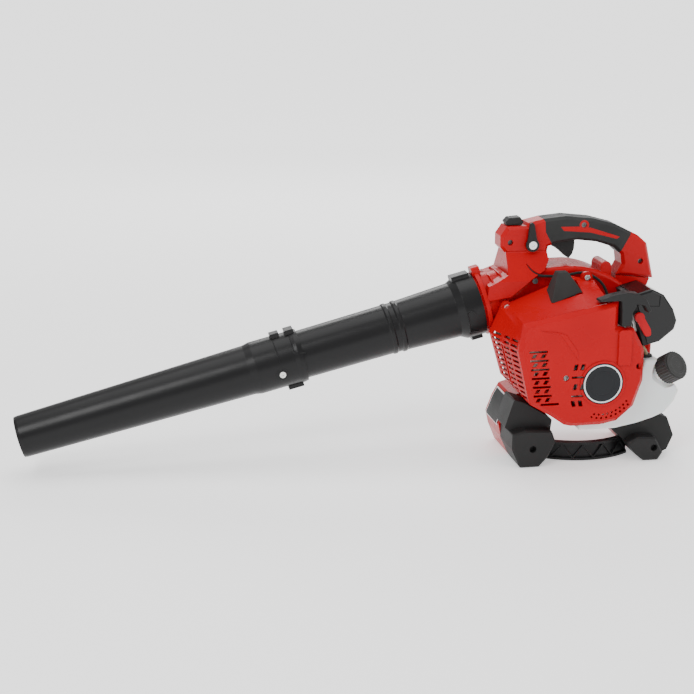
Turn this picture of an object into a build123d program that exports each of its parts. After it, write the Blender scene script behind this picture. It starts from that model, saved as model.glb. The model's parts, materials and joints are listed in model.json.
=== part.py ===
from build123d import *
import os
from math import cos, pi, radians, sin

# Hand-held petrol leaf blower, in millimetres, +Z up, standing on its two feet.
# Modelling frame: x = 0 and z = CRANK_Z on the crankshaft, y = 0 in the plane of the
# blow tube and the handle, -Y towards the recoil starter and +Y towards the air intake.
# keep() moves every finished piece so that the origin is the bottom centre of the machine.
TO_FRAME = Location((335.0, 33.0, 0.0))

# ---------------------------------------------------------------- driving dimensions
CRANK_Z = 127.5          # crankshaft height above the floor
WALL = 2.4               # moulded plastic wall
CLEAR = 0.4              # gap round a moving plastic piece
TUBE_TILT = 14.2         # blow tube slopes down towards its nozzle, degrees
TUBE_START = (-148.6, 0.0, 218.9)
CYLINDER_TILT = 17.0     # cylinder leans forward, degrees
CYLINDER_Y = -68.0       # middle of the bore across the machine
PORT_HEIGHT = 60.0       # ports and carburettor, above the crankshaft along the bore

# fan and its housing
FAN_R = 76.0
FAN_NEAR, FAN_FAR = -24.5, 30.0
CHAMBER_NEAR, CHAMBER_FAR = -32.0, 42.0
SCROLL_START, SCROLL_SPREAD, SCROLL_END = 130.0, 290.0, 455.0   # degrees round the fan
SCROLL_R, SCROLL_END_R = 84.5, 147.0
INTAKE_R = 60.0
DUCT_START = -85.0       # stations along the tube axis
DUCT_ROUND = -14.0
SPIGOT_END = 30.0
SPIGOT_R = 41.0
FLANGE_R = 47.0

# blow tube and nozzle, stations along the tube axis
COLLAR_R, COLLAR_LENGTH = 44.8, 30.0
TUBE_R, TUBE_END_R = 35.6, 34.4
TUBE_LENGTH = 320.0
SLEEVE_START, SLEEVE_END, SLEEVE_R = 262.0, 330.0, 37.6
NOZZLE_END, NOZZLE_R, NOZZLE_BORE_R = 670.0, 29.6, 27.4
NOZZLE_BORE_LENGTH = 20.0

# engine
BORE_R = 17.0
PISTON_R = 16.95
CRANK_THROW = 14.0
ROD_LENGTH = 52.0
PISTON_ABOVE_PIN, PISTON_BELOW_PIN = 16.0, 9.0
ROD_HALF = 3.7           # half the width of the rod across the machine
WEB_NEAR, WEB_FAR, WEB_R = 7.0, 13.0, 26.0       # crank webs, either side of the rod
SHAFT_R = 6.0
CASE_HALF = 16.0         # half the width of the crank chamber
CASE_R = 34.0
CASE_CAVITY_R = 27.5
DECK = 40.0              # crankcase top, along the bore
HEAD = 84.0              # roof of the combustion chamber
CYLINDER_TOP = 100.0
FIN_X, FIN_Y = 68.0, 60.0
PORT_FACE = 36.0         # port flanges, out from the bore axis
FLYWHEEL_R = 47.0
FLYWHEEL_NEAR, FLYWHEEL_FAR = -108.0, -98.5

# starter
ROPE_R = 1.7
ROPE_LINE_R = 31.0       # radius at which the rope leaves the reel
REEL_NEAR, REEL_FAR = -123.0, -112.4
COVER_NEAR = -126.0
POST_R = 5.0

# handle
HANDLE_HALF = 18.5
GRIP_SKIN = 2.0
POST_HALF = 20.0


def side(y, x=0.0, z=0.0):
    """Plane across the machine, seen from the starter: local x is +X, local y is +Z."""
    return Plane(origin=(x, y, z), x_dir=(1, 0, 0), z_dir=(0, -1, 0))


def shaft(y):
    """Plane square to the crankshaft at y, centred on it."""
    return side(y, 0.0, CRANK_Z)


TILT = radians(CYLINDER_TILT)
UP_BORE = Vector(-sin(TILT), 0, cos(TILT))      # from the crankshaft up the bore
OUT_PORT = Vector(cos(TILT), 0, sin(TILT))      # from the bore back to the carburettor
CRANK = Vector(0, CYLINDER_Y, CRANK_Z)
PORT = CRANK + UP_BORE * PORT_HEIGHT


def bore_plane(height):
    """Plane square to the bore: local x is towards the carburettor, local y is +Y."""
    return Plane(origin=CRANK + UP_BORE * height, x_dir=OUT_PORT, z_dir=UP_BORE)


def port_plane(out):
    """Plane square to the intake tract: local x is +Y, local y is up the bore."""
    return Plane(origin=PORT + OUT_PORT * out, x_dir=(0, 1, 0), z_dir=OUT_PORT)


def tract_side(y):
    """Plane across the machine at y: local x is out from the port, local y is up the bore."""
    return Plane(origin=(PORT.X, y, PORT.Z), x_dir=OUT_PORT, z_dir=(0, -1, 0))


SLOPE = radians(TUBE_TILT)
ALONG_TUBE = Vector(-cos(SLOPE), 0, -sin(SLOPE))
TUBE_UP = Vector(-sin(SLOPE), 0, cos(SLOPE))


def on_tube(station, up=0.0):
    return Vector(*TUBE_START) + ALONG_TUBE * station + TUBE_UP * up


def tube_plane(station):
    """Plane square to the blow tube: local x is towards the starter side, local y is up."""
    return Plane(origin=on_tube(station), x_dir=(0, -1, 0), z_dir=ALONG_TUBE)


def tube_side():
    """Plane along the blow tube: local x is the station, local y the radius above the axis."""
    return Plane(origin=TUBE_START, x_dir=ALONG_TUBE, z_dir=(0, 1, 0))


TUBE_AXIS = Axis(origin=TUBE_START, direction=ALONG_TUBE)


def disc(plane, radius, length, bore=0.0):
    """A round bar, or a ring if it has a bore, standing on a plane."""
    with BuildPart() as piece:
        with BuildSketch(plane):
            Circle(radius)
            if bore:
                Circle(bore, mode=Mode.SUBTRACT)
        extrude(amount=length)
    return piece.part


def slab(plane, points, length):
    """A polygon drawn on a plane and extruded along its normal."""
    with BuildPart() as piece:
        with BuildSketch(plane):
            with BuildLine():
                Polyline(*points, close=True)
            make_face()
        extrude(amount=length)
    return piece.part


os.makedirs("parts", exist_ok=True)
NODES = {}


def keep(name, part):
    """Label a finished piece, put it in the machine's frame and write it."""
    moved = part.moved(TO_FRAME)
    moved.label = name
    NODES[name] = moved
    export_step(moved, f"parts/{name}.step")


# ================================================================ fan housing
def scroll_radius(angle):
    """Outer radius of the scroll: constant round the bottom, opening towards the duct."""
    share = max(0.0, (angle - SCROLL_SPREAD) / (SCROLL_END - SCROLL_SPREAD))
    return SCROLL_R + (SCROLL_END_R - SCROLL_R) * share ** 1.3


def scroll_point(angle, inset=0.0):
    radius = scroll_radius(angle) - inset
    return (radius * cos(radians(angle)), CRANK_Z + radius * sin(radians(angle)))


DUCT_TOP, DUCT_BOTTOM = 34.0, -37.0      # duct walls above and below the tube axis
RIM_ROUND = 6.0
CHAMBER_MID = (CHAMBER_NEAR + CHAMBER_FAR) / 2
CHAMBER_WIDTH = CHAMBER_FAR - CHAMBER_NEAR


def scroll(inset):
    """The scroll chamber with its outlet duct; inset draws the air space inside the walls."""
    steps = 13
    angles = [SCROLL_START + i * (SCROLL_END - SCROLL_START) / steps for i in range(steps + 1)]
    top = on_tube(DUCT_START - 0.5, DUCT_TOP - inset)
    bottom = on_tube(DUCT_START - 0.5, DUCT_BOTTOM + inset)
    with BuildPart() as space:
        with BuildSketch(side(CHAMBER_FAR - inset)):
            with BuildLine():
                spiral = Spline(*[scroll_point(a, inset) for a in angles])
                Polyline(spiral @ 1, (top.X, top.Z), (bottom.X, bottom.Z), spiral @ 0)
            make_face()
        extrude(amount=CHAMBER_WIDTH - 2 * inset)
        if not inset:
            rims = edges().filter_by(lambda e: e.geom_type == GeomType.BSPLINE)
            fillet(rims, radius=RIM_ROUND)
        height = DUCT_TOP - DUCT_BOTTOM - 2 * inset
        with BuildSketch(tube_plane(DUCT_START - 0.5)):
            with Locations((-CHAMBER_MID, (DUCT_TOP + DUCT_BOTTOM) / 2)):
                RectangleRounded(CHAMBER_WIDTH - 2 * inset, height, 9 - inset)
        with BuildSketch(tube_plane(DUCT_ROUND)):
            Circle(SPIGOT_R - inset)
        loft()
        with BuildSketch(tube_plane(DUCT_ROUND)):
            Circle(SPIGOT_R - inset)
        extrude(amount=SPIGOT_END - DUCT_ROUND + inset)
    return space.part


scroll_outer = scroll(0.0)
scroll_inner = scroll(WALL)

REAR_LUG = [(50, 236), (53, 255.6), (104, 249.4), (100, 238), (90, 214), (70, 214)]
LUG_HALF = 15.0
HANGER = (33.0, 271.0)

with BuildPart() as volute:
    add(scroll_outer)
    # flange ring that stops the tube collar, with the notch lug on top
    add(disc(tube_plane(-9), FLANGE_R, 6))
    with BuildSketch(tube_plane(-13)):
        with Locations((0, FLANGE_R - 1)):
            RectangleRounded(20, 16, 4)
    extrude(amount=12)
    # ribs round the duct
    for station in (-24, -38):
        with BuildSketch(tube_plane(station)):
            with Locations((-CHAMBER_MID / 2, 0)):
                RectangleRounded(86, 80, 24)
        extrude(amount=2.2)
    # lug under the rear end of the handle and the round boss behind the finger gap
    add(slab(side(LUG_HALF), REAR_LUG, 2 * LUG_HALF))
    with BuildSketch(side(12.0, *HANGER)):
        Circle(8)
        with Locations((0, -8)):
            Rectangle(16, 16)
    extrude(amount=40)
    add(scroll_inner, mode=Mode.SUBTRACT)
    # shaft hole, seat of the crankcase flange and intake eye
    add(disc(shaft(0), 13.0, 40.0), mode=Mode.SUBTRACT)
    add(disc(shaft(60.0), INTAKE_R, 30.0), mode=Mode.SUBTRACT)

with BuildPart() as volute_left:
    add(volute.part)
    split(bisect_by=Plane.XZ, keep=Keep.TOP)

with BuildPart() as volute_right:
    add(volute.part)
    split(bisect_by=Plane.XZ, keep=Keep.BOTTOM)

keep("volute_left", volute_left.part)
keep("volute_right", volute_right.part)

# ---------------------------------------------------------------- intake guard
GUARD_OUT = CHAMBER_FAR + 22.0
GUARD_R = 71.0
BAR = 2.6
with BuildPart() as intake_guard:
    add(disc(shaft(CHAMBER_FAR + 3.0), GUARD_R, 3.0, INTAKE_R + 1))
    add(disc(shaft(GUARD_OUT), GUARD_R - 4, GUARD_OUT - CHAMBER_FAR - 1, GUARD_R - 4 - WALL))
    for radius in (12, 24, 36, 48, 60):
        add(disc(shaft(GUARD_OUT), radius + BAR / 2, 4.0, radius - BAR / 2))
    with BuildSketch(shaft(GUARD_OUT - 0.6)):
        Circle(8)
        with PolarLocations(GUARD_R / 2, 8, 22.5):
            Rectangle(GUARD_R - 9, BAR)
    extrude(amount=7)
keep("intake_guard", intake_guard.part)

# ================================================================ fan and crankshaft
BLADES = 14
BLADE_IN, BLADE_OUT, BLADE_THICK = 40.0, FAN_R - 0.5, 2.0


def ring_point(radius, angle):
    return (radius * cos(radians(angle)), radius * sin(radians(angle)))


with BuildPart() as fan:
    add(disc(shaft(FAN_NEAR + 2.5), FAN_R, 2.5, SHAFT_R))
    add(disc(shaft(-4.0), 13.0, -4.0 - FAN_NEAR, SHAFT_R))
    with BuildSketch(shaft(FAN_FAR)):
        with PolarLocations(0, BLADES):
            with BuildLine():
                inner = ring_point(BLADE_IN, 0)
                outer = ring_point(BLADE_OUT, -24)
                lead = ring_point(BLADE_OUT, -24 + 1.6)
                heel = ring_point(BLADE_IN, 2.9)
                RadiusArc(inner, outer, 70)
                Line(outer, lead)
                RadiusArc(lead, heel, -70)
                Line(heel, inner)
            make_face()
    extrude(amount=FAN_FAR - FAN_NEAR - 2)
    with BuildSketch(shaft(FAN_FAR)):
        Circle(FAN_R)
        Circle(FAN_R - 9, mode=Mode.SUBTRACT)
    extrude(amount=1.6)
keep("fan", fan.part)

with BuildPart() as crankshaft:
    for toward in (1, -1):
        far = toward > 0
        journal_end = -4.0 if far else FLYWHEEL_NEAR
        thread_end = 8.0 if far else -111.6
        web = CYLINDER_Y + toward * WEB_NEAR
        with BuildSketch(shaft(web)):
            with Locations((0, 0)):
                Circle(WEB_R)
            with Locations((-20, 34), (20, 34)):
                Circle(18, mode=Mode.SUBTRACT)
        extrude(amount=-toward * (WEB_FAR - WEB_NEAR))
        add(disc(shaft(web), SHAFT_R, -toward * abs(journal_end - web)))
        add(disc(shaft(journal_end), SHAFT_R - 1, -toward * abs(thread_end - journal_end)))
        # crankpin stub, short of the rod's side face
        pin = CRANK + UP_BORE * CRANK_THROW
        with BuildSketch(side(web, pin.X, pin.Z)):
            Circle(4.5)
        extrude(amount=toward * (WEB_NEAR - ROD_HALF - 0.3))
keep("crankshaft", crankshaft.part)

NUT_R = 8.0
with BuildPart() as shaft_nuts:
    with BuildSketch(shaft(3.0)):
        RegularPolygon(NUT_R, 6)
        Circle(SHAFT_R - 1, mode=Mode.SUBTRACT)
    extrude(amount=7.0)
    with BuildSketch(shaft(FLYWHEEL_NEAR)):
        RegularPolygon(NUT_R, 6)
        Circle(SHAFT_R - 1, mode=Mode.SUBTRACT)
    extrude(amount=3.2)
keep("shaft_nuts", shaft_nuts.part)

VANES = 18
with BuildPart() as flywheel:
    add(disc(shaft(FLYWHEEL_FAR), FLYWHEEL_R, 4.0, SHAFT_R))
    add(disc(shaft(FLYWHEEL_FAR), 15.0, FLYWHEEL_FAR - FLYWHEEL_NEAR, SHAFT_R))
    add(disc(shaft(FLYWHEEL_FAR), FLYWHEEL_R, FLYWHEEL_FAR - FLYWHEEL_NEAR, FLYWHEEL_R - 5))
    with BuildSketch(shaft(FLYWHEEL_FAR - 4)):
        with PolarLocations(34, VANES, 10):
            Rectangle(14, 2)
    extrude(amount=FLYWHEEL_FAR - 4 - FLYWHEEL_NEAR)
keep("flywheel", flywheel.part)

with BuildPart() as starter_pawls:
    with BuildSketch(shaft(FLYWHEEL_NEAR)):
        with PolarLocations(18.5, 2, 35):
            with Locations(Location((0, 0, 0), (0, 0, 60))):
                SlotOverall(12, 4.6)
    extrude(amount=3.4)
    with BuildSketch(shaft(FLYWHEEL_FAR - 4)):
        with PolarLocations(18.5, 2, 35):
            Circle(1.6)
    extrude(amount=FLYWHEEL_FAR - 4 - FLYWHEEL_NEAR)
keep("starter_pawls", starter_pawls.part)

# ================================================================ crankcase and bearings
BEARING_R = 13.0
BEARING_IN, BEARING_OUT = CASE_HALF + 1.0, CASE_HALF + 8.0
SEAL_R = 12.0
SEAL_IN, SEAL_OUT = BEARING_OUT + 0.5, BEARING_OUT + 4.0
CASE_END_NEAR = CYLINDER_Y - SEAL_OUT - 0.5
CASE_END_FAR = CHAMBER_NEAR

with BuildPart() as crankcase:
    add(disc(shaft(CASE_END_FAR - 5), CASE_R, CASE_END_FAR - 5 - CASE_END_NEAR))
    with BuildSketch(bore_plane(0)):
        Rectangle(52, 52)
    extrude(amount=DECK)
    with BuildSketch(shaft(CASE_END_FAR)):
        Circle(46)
    extrude(amount=5)
    add(disc(shaft(CYLINDER_Y + CASE_HALF), CASE_CAVITY_R, 2 * CASE_HALF), mode=Mode.SUBTRACT)
    with BuildSketch(bore_plane(0)):
        Circle(BORE_R + 2)
    extrude(amount=DECK + 1, mode=Mode.SUBTRACT)
    for toward in (1, -1):
        start = CYLINDER_Y + toward * (CASE_HALF - 1)
        seat = -toward * (BEARING_OUT - CASE_HALF + 1)
        add(disc(shaft(start), BEARING_R, seat), mode=Mode.SUBTRACT)
        start = CYLINDER_Y + toward * (SEAL_IN - 1)
        add(disc(shaft(start), SEAL_R, -toward * (SEAL_OUT - SEAL_IN + 1)), mode=Mode.SUBTRACT)
    add(disc(shaft(0), SHAFT_R + 0.6, 130), mode=Mode.SUBTRACT)

with BuildPart() as crankcase_near:
    add(crankcase.part)
    split(bisect_by=Plane.XZ.offset(-CYLINDER_Y), keep=Keep.TOP)

with BuildPart() as crankcase_far:
    add(crankcase.part)
    split(bisect_by=Plane.XZ.offset(-CYLINDER_Y), keep=Keep.BOTTOM)

keep("crankcase_near", crankcase_near.part)
keep("crankcase_far", crankcase_far.part)

with BuildPart() as main_bearings:
    for toward in (1, -1):
        start = CYLINDER_Y + toward * BEARING_IN
        add(disc(shaft(start), BEARING_R, -toward * (BEARING_OUT - BEARING_IN), SHAFT_R + 0.04))
keep("main_bearings", main_bearings.part)

with BuildPart() as oil_seals:
    for toward in (1, -1):
        start = CYLINDER_Y + toward * SEAL_IN
        add(disc(shaft(start), SEAL_R, -toward * (SEAL_OUT - SEAL_IN), SHAFT_R + 0.08))
keep("oil_seals", oil_seals.part)

# ================================================================ cylinder and piston
FINS = 9
FIN_PITCH = 6.0
with BuildPart() as cylinder:
    with BuildSketch(bore_plane(DECK - 6)):
        Circle(BORE_R + 2)
    extrude(amount=6)
    with BuildSketch(bore_plane(DECK)):
        RectangleRounded(50, 50, 6)
    extrude(amount=5)
    with BuildSketch(bore_plane(DECK)):
        Circle(21)
    extrude(amount=CYLINDER_TOP - DECK)
    for i in range(FINS):
        with BuildSketch(bore_plane(CYLINDER_TOP - 1.8 - i * FIN_PITCH)):
            RectangleRounded(FIN_X, FIN_Y, 8)
        extrude(amount=1.8)
    # exhaust port block to the front, intake port block to the back
    with BuildSketch(port_plane(-PORT_FACE)):
        RectangleRounded(40, 30, 4)
    extrude(amount=2 * PORT_FACE)
    with BuildSketch(bore_plane(DECK - 7)):
        Circle(BORE_R)
    extrude(amount=HEAD - DECK + 7, mode=Mode.SUBTRACT)
    with BuildSketch(port_plane(-PORT_FACE - 1)):
        Circle(7)
    extrude(amount=2 * PORT_FACE + 2, mode=Mode.SUBTRACT)
    with BuildSketch(bore_plane(HEAD - 1)):
        Circle(5)
    extrude(amount=CYLINDER_TOP - HEAD + 2, mode=Mode.SUBTRACT)
keep("cylinder", cylinder.part)

PIN_AT = CRANK_THROW + ROD_LENGTH
PISTON_PIN_R = 4.0
PISTON_PIN_HALF = 15.0
SKIRT = 2.4


def across_rod(height, half):
    """Plane across the machine on the bore axis, half in front of the rod's middle."""
    at = CRANK + UP_BORE * height
    return side(CYLINDER_Y + half, at.X, at.Z)


with BuildPart() as piston:
    with BuildSketch(bore_plane(PIN_AT - PISTON_BELOW_PIN)):
        Circle(PISTON_R)
    extrude(amount=PISTON_BELOW_PIN + PISTON_ABOVE_PIN)
    with BuildSketch(bore_plane(PIN_AT - PISTON_BELOW_PIN - 1)):
        Circle(PISTON_R - SKIRT)
    extrude(amount=PISTON_BELOW_PIN + PISTON_ABOVE_PIN - 3, mode=Mode.SUBTRACT)
    with BuildSketch(across_rod(PIN_AT, PISTON_R - SKIRT - 0.1)):
        Circle(7)
    extrude(amount=2 * (PISTON_R - SKIRT - 0.1))
    with BuildSketch(across_rod(PIN_AT, ROD_HALF + 0.5)):
        Circle(9)
    extrude(amount=2 * (ROD_HALF + 0.5), mode=Mode.SUBTRACT)
    with BuildSketch(across_rod(PIN_AT, PISTON_PIN_HALF + 3)):
        Circle(PISTON_PIN_R)
    extrude(amount=2 * (PISTON_PIN_HALF + 3), mode=Mode.SUBTRACT)
keep("piston", piston.part)

with BuildPart() as piston_pin:
    with BuildSketch(across_rod(PIN_AT, PISTON_PIN_HALF)):
        Circle(PISTON_PIN_R)
        Circle(2, mode=Mode.SUBTRACT)
    extrude(amount=2 * PISTON_PIN_HALF)
keep("piston_pin", piston_pin.part)

CRANKPIN_R = 4.5
with BuildPart() as connecting_rod:
    with BuildSketch(across_rod(CRANK_THROW, ROD_HALF)):
        Circle(9)
    with BuildSketch(across_rod(PIN_AT, ROD_HALF)):
        Circle(7)
    extrude(amount=2 * ROD_HALF)
    with BuildSketch(tract_side(CYLINDER_Y + 2.5)):
        with Locations((0, (CRANK_THROW + PIN_AT) / 2 - PORT_HEIGHT)):
            Rectangle(8, ROD_LENGTH - 8)
    extrude(amount=5)
    with BuildSketch(across_rod(CRANK_THROW, ROD_HALF + 1)):
        Circle(CRANKPIN_R)
    with BuildSketch(across_rod(PIN_AT, ROD_HALF + 1)):
        Circle(PISTON_PIN_R)
    extrude(amount=2 * ROD_HALF + 2, mode=Mode.SUBTRACT)
keep("connecting_rod", connecting_rod.part)

with BuildPart() as crankpin:
    with BuildSketch(across_rod(CRANK_THROW, ROD_HALF)):
        Circle(CRANKPIN_R)
    extrude(amount=2 * ROD_HALF)
keep("crankpin", crankpin.part)

# ================================================================ ignition
with BuildPart() as spark_plug:
    with BuildSketch(bore_plane(HEAD)):
        Circle(5)
    extrude(amount=CYLINDER_TOP - HEAD)
    with BuildSketch(bore_plane(CYLINDER_TOP)):
        Circle(8.5)
    extrude(amount=2)
    with BuildSketch(bore_plane(CYLINDER_TOP + 2)):
        RegularPolygon(8, 6)
    extrude(amount=8)
    with BuildSketch(bore_plane(CYLINDER_TOP + 10)):
        Circle(4.6)
    extrude(amount=18)
keep("spark_plug", spark_plug.part)

BOOT_LOW, BOOT_TOP = CYLINDER_TOP + 13, CYLINDER_TOP + 36
with BuildPart() as plug_boot:
    with BuildSketch(bore_plane(BOOT_LOW)):
        Circle(8.5)
    extrude(amount=BOOT_TOP - BOOT_LOW)
    fillet(edges().filter_by(GeomType.CIRCLE).sort_by(Axis.Z)[-1], radius=4)
    add(spark_plug.part, mode=Mode.SUBTRACT)
keep("plug_boot", plug_boot.part)

COIL_BOX = (-22.0, 14.0, 178.0, 197.0)     # x and z limits
COIL_NEAR, COIL_FAR = -113.0, -100.0
with BuildPart() as ignition_coil:
    with BuildSketch(side(COIL_FAR)):
        with Locations((sum(COIL_BOX[:2]) / 2, sum(COIL_BOX[2:]) / 2)):
            RectangleRounded(COIL_BOX[1] - COIL_BOX[0], COIL_BOX[3] - COIL_BOX[2], 3)
    extrude(amount=COIL_FAR - COIL_NEAR)
    # two laminated legs reaching down to the flywheel rim
    with BuildSketch(side(COIL_FAR - 1.5)):
        with Locations((-18, 177), (10, 177)):
            Rectangle(7, 6)
    extrude(amount=5)
    add(disc(shaft(COIL_FAR), FLYWHEEL_R + 0.6, 8), mode=Mode.SUBTRACT)
keep("ignition_coil", ignition_coil.part)

# lead from the coil up to the side of the plug boot
BOOT_ENTRY = CRANK + UP_BORE * (BOOT_LOW + 14)
LEAD_R = 2.6
LEAD_ROUTE = [
    (2, -106, 197),
    (2, -106, 215),
    (-8, -104.5, 230),
    (-24, -93, 233),
    (BOOT_ENTRY.X + 2, CYLINDER_Y - 8.2, BOOT_ENTRY.Z),
]


def corner_radii(points, share=0.45):
    """The largest even bend at each corner: share of the shorter run over tan of half the turn."""
    radii = []
    for a, b, c in zip(points, points[1:], points[2:]):
        run_in, run_out = Vector(*b) - Vector(*a), Vector(*c) - Vector(*b)
        half_turn = radians(run_in.get_angle(run_out)) / 2
        radii.append(share * min(run_in.length, run_out.length) * cos(half_turn) / sin(half_turn))
    return radii


def hose(points, radius):
    """A round hose or cable along straight runs joined by arcs."""
    radii = corner_radii(points)
    with BuildPart() as piece:
        with BuildLine() as path:
            FilletPolyline(*points, radius=radii)
        start = Plane(origin=points[0], z_dir=Vector(*points[1]) - Vector(*points[0]))
        with BuildSketch(start):
            Circle(radius)
        sweep(path=path.line)
    length = sum(edge.length for edge in path.edges())
    ratio = piece.part.volume / (pi * radius ** 2 * length)
    print(f"hose volume ratio {ratio:.3f}, bend radii", [round(r, 1) for r in radii])
    return piece.part


with BuildPart() as ignition_lead:
    add(hose(LEAD_ROUTE, LEAD_R))
    add(plug_boot.part, mode=Mode.SUBTRACT)
keep("ignition_lead", ignition_lead.part)

# ================================================================ exhaust and intake tract
MUFFLER_IN, MUFFLER_OUT = -PORT_FACE - 1.0, -82.0
with BuildPart() as muffler:
    with BuildSketch(port_plane(MUFFLER_OUT)):
        RectangleRounded(58, 60, 8)
    extrude(amount=MUFFLER_IN - MUFFLER_OUT)
    with BuildSketch(port_plane(MUFFLER_IN)):
        RectangleRounded(36, 26, 4)
    extrude(amount=1)
    with BuildSketch(port_plane(MUFFLER_OUT - 12)):
        with Locations((-14, -18)):
            Circle(7)
    extrude(amount=14)
    with BuildSketch(port_plane(MUFFLER_OUT + 1.5)):
        RectangleRounded(55, 57, 7)
    extrude(amount=MUFFLER_IN - MUFFLER_OUT - 3, mode=Mode.SUBTRACT)
    with BuildSketch(port_plane(MUFFLER_OUT - 13)):
        with Locations((-14, -18)):
            Circle(5.5)
    extrude(amount=16, mode=Mode.SUBTRACT)
    with BuildSketch(port_plane(MUFFLER_IN - 3)):
        Circle(7)
    extrude(amount=6, mode=Mode.SUBTRACT)
keep("muffler", muffler.part)

CARB_IN, CARB_OUT = 48.0, 78.0
CARB_HALF_Y, CARB_HALF_D = 17.0, 20.0
VENTURI_R = 8.0
BASE_OUT = 84.0
with BuildPart() as intake_insulator:
    with BuildSketch(port_plane(PORT_FACE)):
        RectangleRounded(40, 32, 4)
        Circle(7, mode=Mode.SUBTRACT)
    extrude(amount=CARB_IN - PORT_FACE)
keep("intake_insulator", intake_insulator.part)

THROTTLE_AT = 56.0       # throttle shaft, out from the bore axis
THROTTLE_SHAFT_R = 1.5
SHAFT_BLIND = 8.5        # the throttle shaft stops this far inside the near face
BULB_AT, BULB_R = (64.0, -6.0), 9.0
BULB_TRAVEL = 3.0
CARB_NEAR, CARB_FAR = CYLINDER_Y - CARB_HALF_Y, CYLINDER_Y + CARB_HALF_Y
with BuildPart() as carburettor:
    with BuildSketch(port_plane(CARB_IN)):
        RectangleRounded(2 * CARB_HALF_Y, 2 * CARB_HALF_D, 3)
    extrude(amount=CARB_OUT - CARB_IN)
    with BuildSketch(tract_side(CARB_NEAR + 1)):
        with Locations(BULB_AT):
            Circle(BULB_R + 2)
    extrude(amount=5)
    with BuildSketch(port_plane(CARB_IN - 1)):
        Circle(VENTURI_R)
    extrude(amount=CARB_OUT - CARB_IN + 2, mode=Mode.SUBTRACT)
    with BuildSketch(tract_side(CARB_FAR + 1)):
        with Locations((THROTTLE_AT, 0)):
            Circle(THROTTLE_SHAFT_R + 0.05)
    extrude(amount=2 * CARB_HALF_Y + 1 - SHAFT_BLIND, mode=Mode.SUBTRACT)
    with BuildSketch(tract_side(CARB_NEAR + 6)):
        with Locations(BULB_AT):
            Circle(BULB_R + CLEAR)
    extrude(amount=12, mode=Mode.SUBTRACT)
keep("carburettor", carburettor.part)

with BuildPart() as primer_bulb:
    with BuildSketch(tract_side(CARB_NEAR + 6 - BULB_TRAVEL - CLEAR)):
        with Locations(BULB_AT):
            Circle(BULB_R)
    extrude(amount=9.6)
    fillet(edges().filter_by(GeomType.CIRCLE).sort_by(Axis.Y)[0], radius=6)
keep("primer_bulb", primer_bulb.part)

ARM = 12.0
with BuildPart() as throttle_valve:
    with BuildSketch(tract_side(CARB_FAR + 5.4)):
        with Locations((THROTTLE_AT, 0)):
            Circle(THROTTLE_SHAFT_R)
    extrude(amount=2 * CARB_HALF_Y + 5.4 - SHAFT_BLIND - 0.5)
    with BuildSketch(port_plane(THROTTLE_AT - 0.5)):
        Circle(VENTURI_R - 0.3)
    extrude(amount=1.0)
    with BuildSketch(tract_side(CARB_FAR + 4.4)):
        with Locations((THROTTLE_AT, ARM / 2)):
            SlotOverall(ARM + 7, 7, rotation=90)
    extrude(amount=2.5)
keep("throttle_valve", throttle_valve.part)

BASE_NEAR, BASE_FAR = -96.0, -35.0
BASE_LOW, BASE_HIGH = -39.0, 36.0
CHOKE_AT = (81.0, 5.0)
CHOKE_SHAFT_R = 2.0
with BuildPart() as filter_base:
    with BuildSketch(tract_side(BASE_FAR)):
        with Locations(((CARB_OUT + BASE_OUT) / 2, (BASE_LOW + BASE_HIGH) / 2)):
            Rectangle(BASE_OUT - CARB_OUT, BASE_HIGH - BASE_LOW)
    extrude(amount=BASE_FAR - BASE_NEAR)
    with BuildSketch(port_plane(CARB_OUT - 1)):
        Circle(VENTURI_R)
    extrude(amount=8, mode=Mode.SUBTRACT)
    with BuildSketch(tract_side(BASE_NEAR + 12)):
        with Locations(CHOKE_AT):
            Circle(CHOKE_SHAFT_R + 0.06)
    extrude(amount=13, mode=Mode.SUBTRACT)
keep("filter_base", filter_base.part)

with BuildPart() as filter_element:
    with BuildSketch(port_plane(BASE_OUT)):
        with Locations((BASE_FAR - CYLINDER_Y - 30.5, -2)):
            RectangleRounded(48, 56, 4)
    extrude(amount=20)
    pleats = 9
    with BuildSketch(port_plane(BASE_OUT + 14)):
        with Locations((BASE_FAR - CYLINDER_Y - 30.5, -2)):
            with GridLocations(5, 0, pleats, 1):
                Rectangle(2, 50)
    extrude(amount=7, mode=Mode.SUBTRACT)
keep("filter_element", filter_element.part)

COVER_GAP = 0.4
FILTER_OUTLINE = [
    (BASE_OUT + COVER_GAP, -40), (102, -41), (127, -31), (134, -20), (133, -2), (125, 22),
    (110, 36), (BASE_OUT + COVER_GAP, 37),
]


def filter_shell(inset):
    """Air filter cover, or with an inset the space inside it."""
    with BuildPart() as shell:
        with BuildSketch(tract_side(BASE_FAR + 1 - inset)):
            with BuildLine():
                Polyline(*FILTER_OUTLINE, close=True)
            make_face()
            corners = vertices().sort_by(Axis.X)[-6:]
            fillet(corners, radius=5)
            if inset:
                offset(amount=-inset)
        extrude(amount=BASE_FAR - BASE_NEAR + 2 - 2 * inset)
        if inset:
            with BuildSketch(port_plane(BASE_OUT - 5)):
                middle = (BASE_NEAR + BASE_FAR) / 2 - CYLINDER_Y
                with Locations((middle, (BASE_LOW + BASE_HIGH) / 2 - 0.5)):
                    Rectangle(BASE_FAR - BASE_NEAR + 2 - 2 * inset, BASE_HIGH - BASE_LOW + 2 - 2 * inset)
            extrude(amount=12)
        else:
            rims = edges().filter_by(lambda e: abs(e.center().Y - (BASE_NEAR - 1)) < 0.01)
            fillet(rims.sort_by(Axis.X)[3:], radius=4)
    return shell.part


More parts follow.
